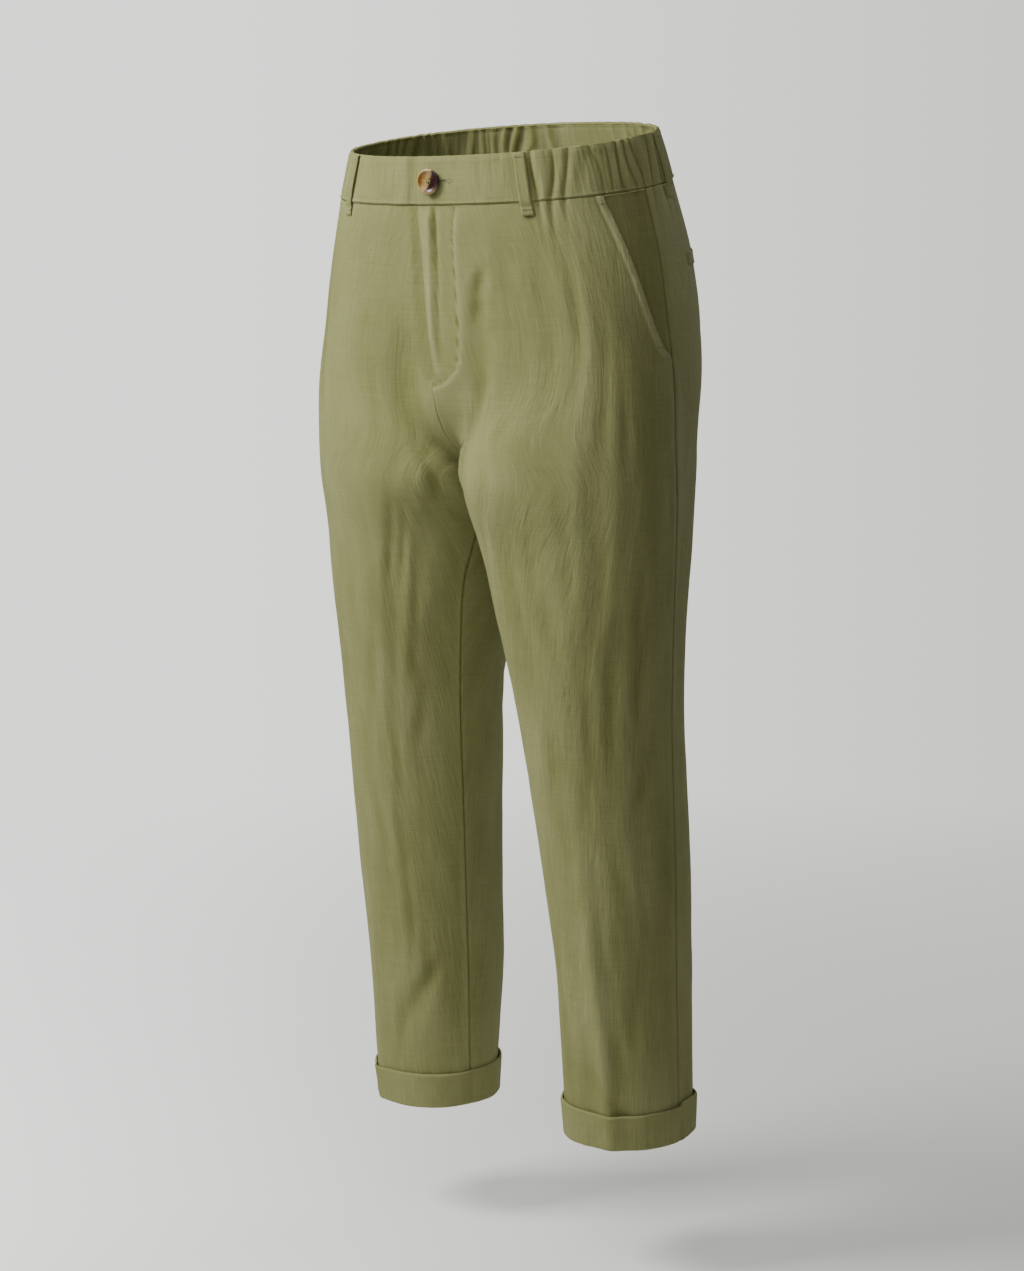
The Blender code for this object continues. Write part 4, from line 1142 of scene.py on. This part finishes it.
def stitchEnds(surface, a, b, pitch=stitching["pitch"]):
    # stitches of one pitch along a path of (a, b) places on a surface, measured in space
    a, b = np.broadcast_arrays(a, b)
    dense = surface(a, b, 0.0)
    length = np.concatenate([[0], np.cumsum(np.linalg.norm(np.diff(dense, axis=0), axis=1))])
    full = stitching["fill"] * pitch
    starts = np.arange(0.15 * pitch, length[-1] - full, pitch)

    def placed(at):
        return standing(surface, np.interp(at, length, a), np.interp(at, length, b))

    return placed(starts)[0], placed(starts + full)[0], placed(starts + 0.5 * full)[1]


def barEnds(surface, first, last, count, width=stitching["tackWidth"]):
    # a bar tack: close stitches across a short line, zigzagging over its width
    t = np.linspace(0.0, 1.0, count)
    at, up = standing(surface, first[0] + (last[0] - first[0]) * t, first[1] + (last[1] - first[1]) * t)
    along = at[-1] - at[0]
    aside = np.cross(along / np.linalg.norm(along), up)
    return at - aside * 0.5 * width, at + aside * 0.5 * width + along / count * stitching["lean"], up


def threadPiece(name, rows):
    # joins rows of (first, last, up, radius) into one mesh
    points, faces, count = [], [], 0
    for first, last, up, radius in rows:
        some, its = capsules(first, last, up, radius)
        points.append(some)
        faces += [[i + count for i in face] for face in its]
        count += len(some)
    piece = addPiece(name, np.vstack(points), faces, thread)
    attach(piece, "root")


def frontThread(side):
    # two rows and two bar tacks along the pocket, and the J and its bar tack on the fly
    surface = lambda a, d, lift: onFront(side, a, d, lift)[0]
    radius, tack = stitching["radius"], stitching["tack"]
    drop = np.linspace(garment["bandHeight"] + 0.002, pocket["end"] - 0.001, 90)
    start, width = frontEdges(side, drop)[0], panelWidth("front", drop)
    rows = [(*stitchEnds(surface, start + away / width, drop), radius)
            for away in (0.0018, pocket["hemWidth"] - 0.0004)]
    for at in (garment["bandHeight"] + 0.006, pocket["end"] - 0.010):
        start, width = float(frontEdges(side, np.array(at))[0]), float(panelWidth("front", at))
        first, last = (start + 0.0004 / width, at), (start + 0.0075 / width, at + 0.0015)
        rows.append((*barEnds(surface, first, last, 16), tack))
    if side > 0:
        line = throughPoints(flyStitch, 140)
        rows.append((*stitchEnds(surface, acrossAt(line[:, 0], line[:, 1]), line[:, 1]), radius))
        at = acrossAt(np.array([0.0012, 0.0075]), 0.2245)
        rows.append((*barEnds(surface, (at[0], 0.2262), (at[1], 0.2246), 14), tack))
    threadPiece(f"topstitching_front_{sideNames[side]}", rows)


def bandSurface(sink=None):
    # the band's outer face by degrees and drop
    def surface(degrees, drop, lift):
        degrees, drop = np.broadcast_arrays(np.asarray(degrees, float), np.asarray(drop, float))
        relief = bandRelief(degrees, drop) - (0.0 if sink is None else sink(degrees))
        return around(degrees, drop, garment["bandProud"] + relief + lift)
    return surface


def bandThread():
    # a row just above the waist seam and a finer one under the top edge, both broken at the belt loops
    lapped, side, clear = bandDegrees(-band["overlap"]), band["sideLoop"], band["clearOfLoop"]
    runs = ((lapped + 0.4, elasticFrom - 2.4, None), (elasticFrom + 2.6, side - clear, None),
            (side + clear, 180.0 - clear, None), (180.0 + clear, 360.0 - side - clear, None),
            (360.0 - side + clear, 360.0 - elasticFrom - 2.6, None),
            (2.4 - elasticFrom, lapped - 0.6, underLap))
    rows = []
    for drop, radius in ((garment["bandHeight"] - band["stitchUp"], stitching["radius"]),
                         (band["topStitch"], stitching["fine"])):
        for first, last, sink in runs:
            degrees = np.linspace(first, last, int(abs(last - first) * 6) + 4)
            rows.append((*stitchEnds(bandSurface(sink), degrees, drop), radius))
    threadPiece("topstitching_band", rows)


def loopThread():
    # a row along both edges of each loop and a bar tack at its top and foot
    rows = []
    for at in loopPlaces.values():
        surface = lambda a, d, lift, at=at: loopPoints(at, a, d, lift)
        drop = np.linspace(loops["top"] + 0.003, loops["end"] - 0.0100, 60)
        for share in (-0.66, 0.66):
            rows.append((*stitchEnds(surface, share, drop, stitching["finePitch"]), stitching["fine"]))
        for down in (loops["top"] + 0.0042, loops["end"] - 0.0060):
            rows.append((*barEnds(surface, (-0.86, down), (0.86, down), 22, 0.0019), 0.00020))
    threadPiece("topstitching_loops", rows)


def weltThread(side):
    # a row along both long edges and a bar tack at each end
    surface = lambda a, d, lift: weltPoints(side, a, d, lift)
    line = np.linspace(0.02, 0.98, 60)
    rows = [(*stitchEnds(surface, line, down, stitching["finePitch"]), stitching["fine"])
            for down in (0.14, 0.86)]
    rows += [(*barEnds(surface, (share, 0.12), (share, 0.88), 16), 0.00018) for share in (0.035, 0.965)]
    threadPiece(f"topstitching_welt_{sideNames[side]}", rows)


frontThread(1)
frontThread(-1)
bandThread()
loopThread()
weltThread(1)
weltThread(-1)
print("topstitching made")

# the button, its thread and its buttonhole
buttonSetup = dict(radius=0.0118, offset=0.014, lean=5.0, tilt=15.0, seat=0.0036, segments=96,
                   holeAway=0.0017, holeRadius=0.00085, threadApart=0.00030, threadUp=0.0022,
                   shankRadius=0.0013, shankFrom=-0.0038, shankTo=0.0002, winds=9)


def buttonFrame():
    # centre of the button's back and its turn: tilted a little towards the wearer's left
    seat = around(bandDegrees(buttonSetup["offset"]), 0.5 * garment["bandHeight"],
                  garment["bandProud"] + buttonSetup["seat"]).reshape(3)
    lean, tilt = math.radians(90 + buttonSetup["lean"]), math.radians(buttonSetup["tilt"])
    aboutX = np.array([[1, 0, 0], [0, math.cos(lean), -math.sin(lean)], [0, math.sin(lean), math.cos(lean)]])
    aboutZ = np.array([[math.cos(tilt), -math.sin(tilt), 0], [math.sin(tilt), math.cos(tilt), 0], [0, 0, 1]])
    return seat, aboutZ @ aboutX


def hornLook():
    # polished horn: amber on one side through cream to near black, with drifting dark grain
    look = Look(bpy.data.materials.new("polished horn"))
    grain = look.add("ShaderNodeUVMap", {"uv_map": "cut"})("UV")
    parts = look.add("ShaderNodeSeparateXYZ", inputs={"Vector": grain})
    drift = look.noise(grain, 210.0, (1.0, 2.2, 1.0), 3.0, 0.6)
    speck = look.noise(grain, 900.0, (1.0, 1.0, 1.0), 4.0, 0.7)
    place = (parts("X") * 36.0 + parts("Y") * -15.0 + 0.50) + (drift - 0.5) * 0.45 + (speck - 0.5) * 0.22
    tone = look.add("ShaderNodeValToRGB", {"stops": [
        (0.00, (0.30, 0.135, 0.012)), (0.14, (0.25, 0.105, 0.010)), (0.30, (0.36, 0.205, 0.050)),
        (0.45, (0.46, 0.33, 0.155)), (0.53, (0.14, 0.062, 0.020)), (0.60, (0.020, 0.007, 0.006)),
        (0.90, (0.030, 0.010, 0.010)), (1.00, (0.090, 0.040, 0.016))]}, {"Fac": place.held()})("Color")
    # painted light: the polished edge is painted paler, as a highlight and light through the horn: golden
    # left and lower right
    out = look.add("ShaderNodeVectorMath", {"operation": "LENGTH"}, {0: grain})("Value")
    rim = ((out - 0.0094) * 1400.0).held()
    facing = (parts("X") * -40.0 + parts("Y") * -70.0 + 0.30).held() \
        .maths("MAXIMUM", (parts("X") * -90.0 - 0.10).held())
    tone = look.mixed(rim * facing * 0.75, tone, (0.52, 0.36, 0.13, 1.0))
    return look.finish(tone, 0.30 + (speck - 0.5) * 0.15, speck, 0.15, 0.0002, Coat_Weight=0.25,
                       Coat_Roughness=0.2, Specular_IOR_Level=0.4)


def holeCutter(x, y):
    # an upright prism a little longer than the button is thick
    angle = np.linspace(0, 2 * math.pi, 25)[:-1]
    ring = np.stack([np.cos(angle), np.sin(angle)], -1) * buttonSetup["holeRadius"] + np.array([x, y])
    points = np.vstack([np.column_stack([ring, np.full(24, height)]) for height in (-0.002, 0.006)])
    faces = gridFaces(2, 24, ring=True).tolist() + [list(range(23, -1, -1)), list(range(24, 48))]
    return addPiece("hole", points, faces, thread)


def buttonPiece():
    # a profile of (distance from the axis, height) turned round: dished middle, raised round rim; the four
    # holes are cut before it's set on the band
    r, away = buttonSetup["radius"], buttonSetup["holeAway"]
    profile = throughPoints(np.array([(0.0001, 0.0020), (0.0035, 0.0020), (0.0062, 0.0021), (0.0078, 0.0025),
                                      (0.0088, 0.0033), (0.0098, 0.0037), (r - 0.0009, 0.0034),
                                      (r - 0.0001, 0.0024), (r - 0.0005, 0.0012), (r - 0.0024, 0.0004),
                                      (0.0070, 0.00005), (0.0001, 0.0)]), 60)
    angle = np.linspace(0, 2 * math.pi, buttonSetup["segments"] + 1)[:-1]
    x, y = profile[:, :1] * np.cos(angle), profile[:, :1] * np.sin(angle)
    points = np.stack([x, y, profile[:, 1:] + np.zeros_like(x)], -1).reshape(-1, 3)
    rows, columns = len(profile), len(angle)
    faces = gridFaces(rows, columns, ring=True, flip=True).tolist()
    faces += [list(range(columns)), list(range(rows * columns - 1, (rows - 1) * columns - 1, -1))]
    piece = addPiece("button_horn", points, faces, hornLook())
    cutters = [holeCutter(across * away, up * away) for across in (-1, 1) for up in (-1, 1)]
    for cutter in cutters:
        cut = piece.modifiers.new("hole", "BOOLEAN")
        cut.operation, cut.object = "DIFFERENCE", cutter
    bpy.context.view_layer.update()
    made = bpy.data.meshes.new_from_object(piece.evaluated_get(bpy.context.evaluated_depsgraph_get()))
    piece.modifiers.clear()
    piece.data = made
    for cutter in cutters:
        bpy.data.objects.remove(cutter, do_unlink=True)
    local = np.zeros(len(made.vertices) * 3)
    made.vertices.foreach_get("co", local)
    local = local.reshape(-1, 3)
    layCut(made, local[:, :2])
    seat, turned = buttonFrame()
    made.vertices.foreach_set("co", (local @ turned.T + seat).ravel())
    made.update()
    return piece


def buttonThread():
    # bars along both sides of the middle, from hole to hole, and a wound shank behind: rings of
    # (radius cos a, radius sin a, level), each step of a ring one capsule
    seat, turned = buttonFrame()
    away, apart, level = buttonSetup["holeAway"], buttonSetup["threadApart"], buttonSetup["threadUp"]
    bars = np.array([(x + offset, level) for offset in (-apart, 0.0, apart) for x in (-away, away)])
    first = np.column_stack([bars[:, 0], np.full(len(bars), -away), bars[:, 1]]) @ turned.T + seat
    last = np.column_stack([bars[:, 0], np.full(len(bars), away), bars[:, 1]]) @ turned.T + seat
    up = np.repeat((turned @ np.array([0, 0, 1.0]))[None], len(first), 0)
    angle = np.linspace(0, 2 * math.pi, 17)[:-1]
    outer = np.stack([np.cos(angle), np.sin(angle), 0 * angle], -1)
    heights = np.linspace(buttonSetup["shankFrom"], buttonSetup["shankTo"], buttonSetup["winds"])
    winds = outer[None] * buttonSetup["shankRadius"] + heights[:, None, None] * np.array([0, 0, 1.0])
    windFirst, windLast = winds.reshape(-1, 3), np.roll(winds, -1, axis=1).reshape(-1, 3)
    threadPiece("button_thread", [
        (first, last, up, stitching["fine"]),
        (windFirst @ turned.T + seat, windLast @ turned.T + seat,
         np.tile(outer, (len(heights), 1)) @ turned.T, 0.00032)])


standsFor(buttonPiece(), "button")
buttonThread()

buttonhole = dict(first=0.0130, last=0.0330, eye=0.0030, eyePast=0.0016, drop=0.0232, slit=0.00042,
                  stitch=0.0015, pitch=0.00052, spokes=25)


def buttonholeShadowLook():
    # painted shadow: near black with a little olive in it, for the shade inside the buttonhole's slit
    look = Look(bpy.data.materials.new("shadow in the buttonhole"))
    place = look.add("ShaderNodeTexCoord")("Object")
    tone = look.mixed(look.noise(place, 500.0), (0.020, 0.020, 0.008, 1.0), (0.045, 0.042, 0.018, 1.0))
    return look.finish(tone, 0.95)


def buttonholePiece():
    # a thin lens along the band, a dark sheet of painted shadow where the slit is: half width = slit * sqrt(1
    # - t^4), stitched close along both sides, its closed end a round of stitches beyond it
    b = buttonhole
    surface = bandSurface()
    half = b["slit"] * np.sqrt(np.clip(1.0 - np.linspace(0.0, 1.0, 61) ** 4, 0.02, 1))
    degrees = bandDegrees(np.linspace(b["first"], b["last"], 61))
    share = np.linspace(-1.0, 1.0, 7)[:, None]
    points = surface(degrees[None, :], b["drop"] + share * half[None, :], 0.00006)
    # a dark sheet of painted shadow laid just over the band where the slit's shade would be
    slit = addPiece("buttonhole_slit", points, gridFaces(7, 61, flip=True).tolist(), buttonholeShadowLook())
    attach(slit, "root")

    # stitches from (x, drop) out to (outX, outDrop)
    def row(x, drop, outX, outDrop):
        inner, up = standing(surface, bandDegrees(x), drop)
        return inner, surface(bandDegrees(outX), outDrop, 0.0), up, stitching["tack"]

    close = np.arange(b["first"], b["last"], b["pitch"])
    rows = []
    for sign in (-1, 1):
        near = b["drop"] + sign * (b["slit"] + 0.0001)
        rows.append(row(close, near, close, near + sign * b["stitch"]))
    spokes = np.linspace(-0.9 * math.pi, 0.9 * math.pi, b["spokes"])
    inside, middle = b["eye"] - b["stitch"], b["last"] + b["eyePast"]
    rows.append(row(middle + np.cos(spokes) * inside, b["drop"] + np.sin(spokes) * inside,
                    middle + np.cos(spokes) * b["eye"], b["drop"] + np.sin(spokes) * b["eye"]))
    threadPiece("buttonhole_thread", rows)


buttonholePiece()
print("button and buttonhole made")

# the solids that the pieces stand for
for (panel, sign), piece in panelPieces.items():
    standsFor(piece, f"{panel}_{sideNames[sign]}")
for sign in (1, -1):
    for piece, node, flat, share in ((facings[sign], "pocket_facing", (0.062, 0.170), 0.70),
                                     (welts[sign], "back_welt", (0.080, 0.018), 1.0),
                                     (cuffs[sign], "cuff", (0.400, 0.044), 1.0)):
        standsFor(piece, f"{node}_{sideNames[sign]}")
        share * flat[0] * flat[1]
for piece, node, flat, held in ((bandLeft, "waistband_left", (0.105, 0.047), "stretched"),
                                (bandRight, "waistband_right", (0.125, 0.047), "stretched"),
                                (bandBack, "waistband_back", (0.860, 0.047), "gathered")):
    standsFor(piece, node)
for name, piece in loopPieces.items():
    standsFor(piece, name)

# stage: a pale floor well under the hems, and soft light from the upper left
stage = dict(floor=-1.075, radius=7.0, rings=25, sides=96, fadeFrom=0.75, fadeTo=2.6, grey=0.80,
             glowLeft=1.50, glowRight=0.05, glowFrom=-0.9, glowOver=1.4286, ambient=0.065,
             bright=(1.55, 1.555, 1.51, 1.0), dim=(1.02, 1.02, 0.985, 1.0), brightTo=-0.10, dimFrom=0.17)
rightward = (math.cos(turn), math.sin(turn), 0.0)  # the camera's right


def floorLook():
    # painted light: the floor glows a little, more to the left, as a pool of light from the left; the glow is
    # glowRight + (glowLeft - glowRight) * (1 - t)^2 with t from left to right, and it fades out far away
    look = Look(bpy.data.materials.new("pale floor"))
    place = look.add("ShaderNodeTexCoord")("Object")
    out = look.add("ShaderNodeVectorMath", {"operation": "LENGTH"}, {0: place})("Value")
    aside = look.add("ShaderNodeVectorMath", {"operation": "DOT_PRODUCT"}, {0: place, 1: rightward})("Value")
    left = 1.0 - ((aside - stage["glowFrom"]) / stage["glowOver"]).held()
    strong, weak = ((stage[name],) * 3 + (1.0,) for name in ("glowLeft", "glowRight"))
    glow = look.mixed(1.0 - left ** 2.0, strong, weak)
    look.finish((stage["grey"], stage["grey"], stage["grey"] * 0.985, 1.0), 0.9, Specular_IOR_Level=0.1,
                Emission_Strength=1.0)
    look.put(glow, look.shader.inputs["Emission Color"])
    clear = look.add("ShaderNodeBsdfTransparent")("BSDF")
    share = ((out - stage["fadeFrom"]) / (stage["fadeTo"] - stage["fadeFrom"])).held()
    mixed = look.add("ShaderNodeMixShader",
                     inputs={0: share, 1: Field(look, look.shader.outputs["BSDF"]), 2: clear})("Shader")
    look.put(mixed, look.tree.nodes["Material Output"].inputs["Surface"])
    return look.holder


ringAngles = np.linspace(0, 2 * math.pi, stage["sides"] + 1)[:-1]
radii = np.concatenate([[0.0], np.linspace(0.2, stage["radius"], stage["rings"] - 1)])[:, None]
floorPoints = np.stack([radii * np.cos(ringAngles), radii * np.sin(ringAngles),
                        np.full((stage["rings"], stage["sides"]), stage["floor"])], -1)
floorFaces = gridFaces(stage["rings"], stage["sides"], ring=True).tolist()
addPiece("floor", floorPoints, floorFaces, floorLook())

# painted light: the wall behind is shown paler on the left, a pool of light painted on it; the light it casts
# is weaker than it looks
bpy.context.scene.world = bpy.data.worlds.new("studio")
wall = Look(bpy.context.scene.world)
towards = wall.add("ShaderNodeTexCoord")("Generated")
aside = wall.add("ShaderNodeVectorMath", {"operation": "DOT_PRODUCT"}, {0: towards, 1: rightward})("Value")
share = wall.add("ShaderNodeMapRange", inputs={"Value": aside, "From Min": stage["brightTo"],
                                               "From Max": stage["dimFrom"]})("Result")
seen = wall.add("ShaderNodeBackground", inputs={"Color": wall.mixed(share, stage["bright"], stage["dim"])})
cast = wall.add("ShaderNodeBackground", inputs={"Color": (1.0, 1.0, 1.0, 1.0), "Strength": stage["ambient"]})
rays = wall.add("ShaderNodeLightPath")("Is Camera Ray")
mixed = wall.add("ShaderNodeMixShader", inputs={0: rays, 1: cast("Background"), 2: seen("Background")})
wall.put(mixed("Shader"), wall.tree.nodes["World Output"].inputs["Surface"])

# name, place (to the camera's right, up, towards the camera) from the middle of the trousers, size, watts
# and colour
lights = [("key", (-1.28, 1.38, 0.32), 0.8, 48.0, (1.0, 0.99, 0.96)),
          ("fill", (-0.20, 1.60, 0.95), 0.8, 5.5, (1.0, 1.0, 0.98)),
          ("front", (-0.6, 1.6, 2.8), 2.0, 18.5, (1.0, 1.0, 1.0)),
          ("rim", (2.2, 0.9, -1.6), 1.2, 24.0, (1.0, 1.0, 1.0))]
middle = np.array([0.0, 0.0, -0.45])
for name, (aside, up, near), size, power, colour in lights:
    data = bpy.data.lights.new(name, "AREA")
    data.energy, data.size, data.color = power, size, colour
    lamp = bpy.data.objects.new(name, data)
    bpy.context.scene.collection.objects.link(lamp)
    away = np.array([aside * math.cos(turn) + near * math.sin(turn),
                     aside * math.sin(turn) - near * math.cos(turn), up])
    lamp.location = middle + away
    lamp.rotation_euler = (math.acos(away[2] / np.linalg.norm(away)), 0.0,
                           math.atan2(away[1], away[0]) + math.pi / 2)
print("stage and lights set")
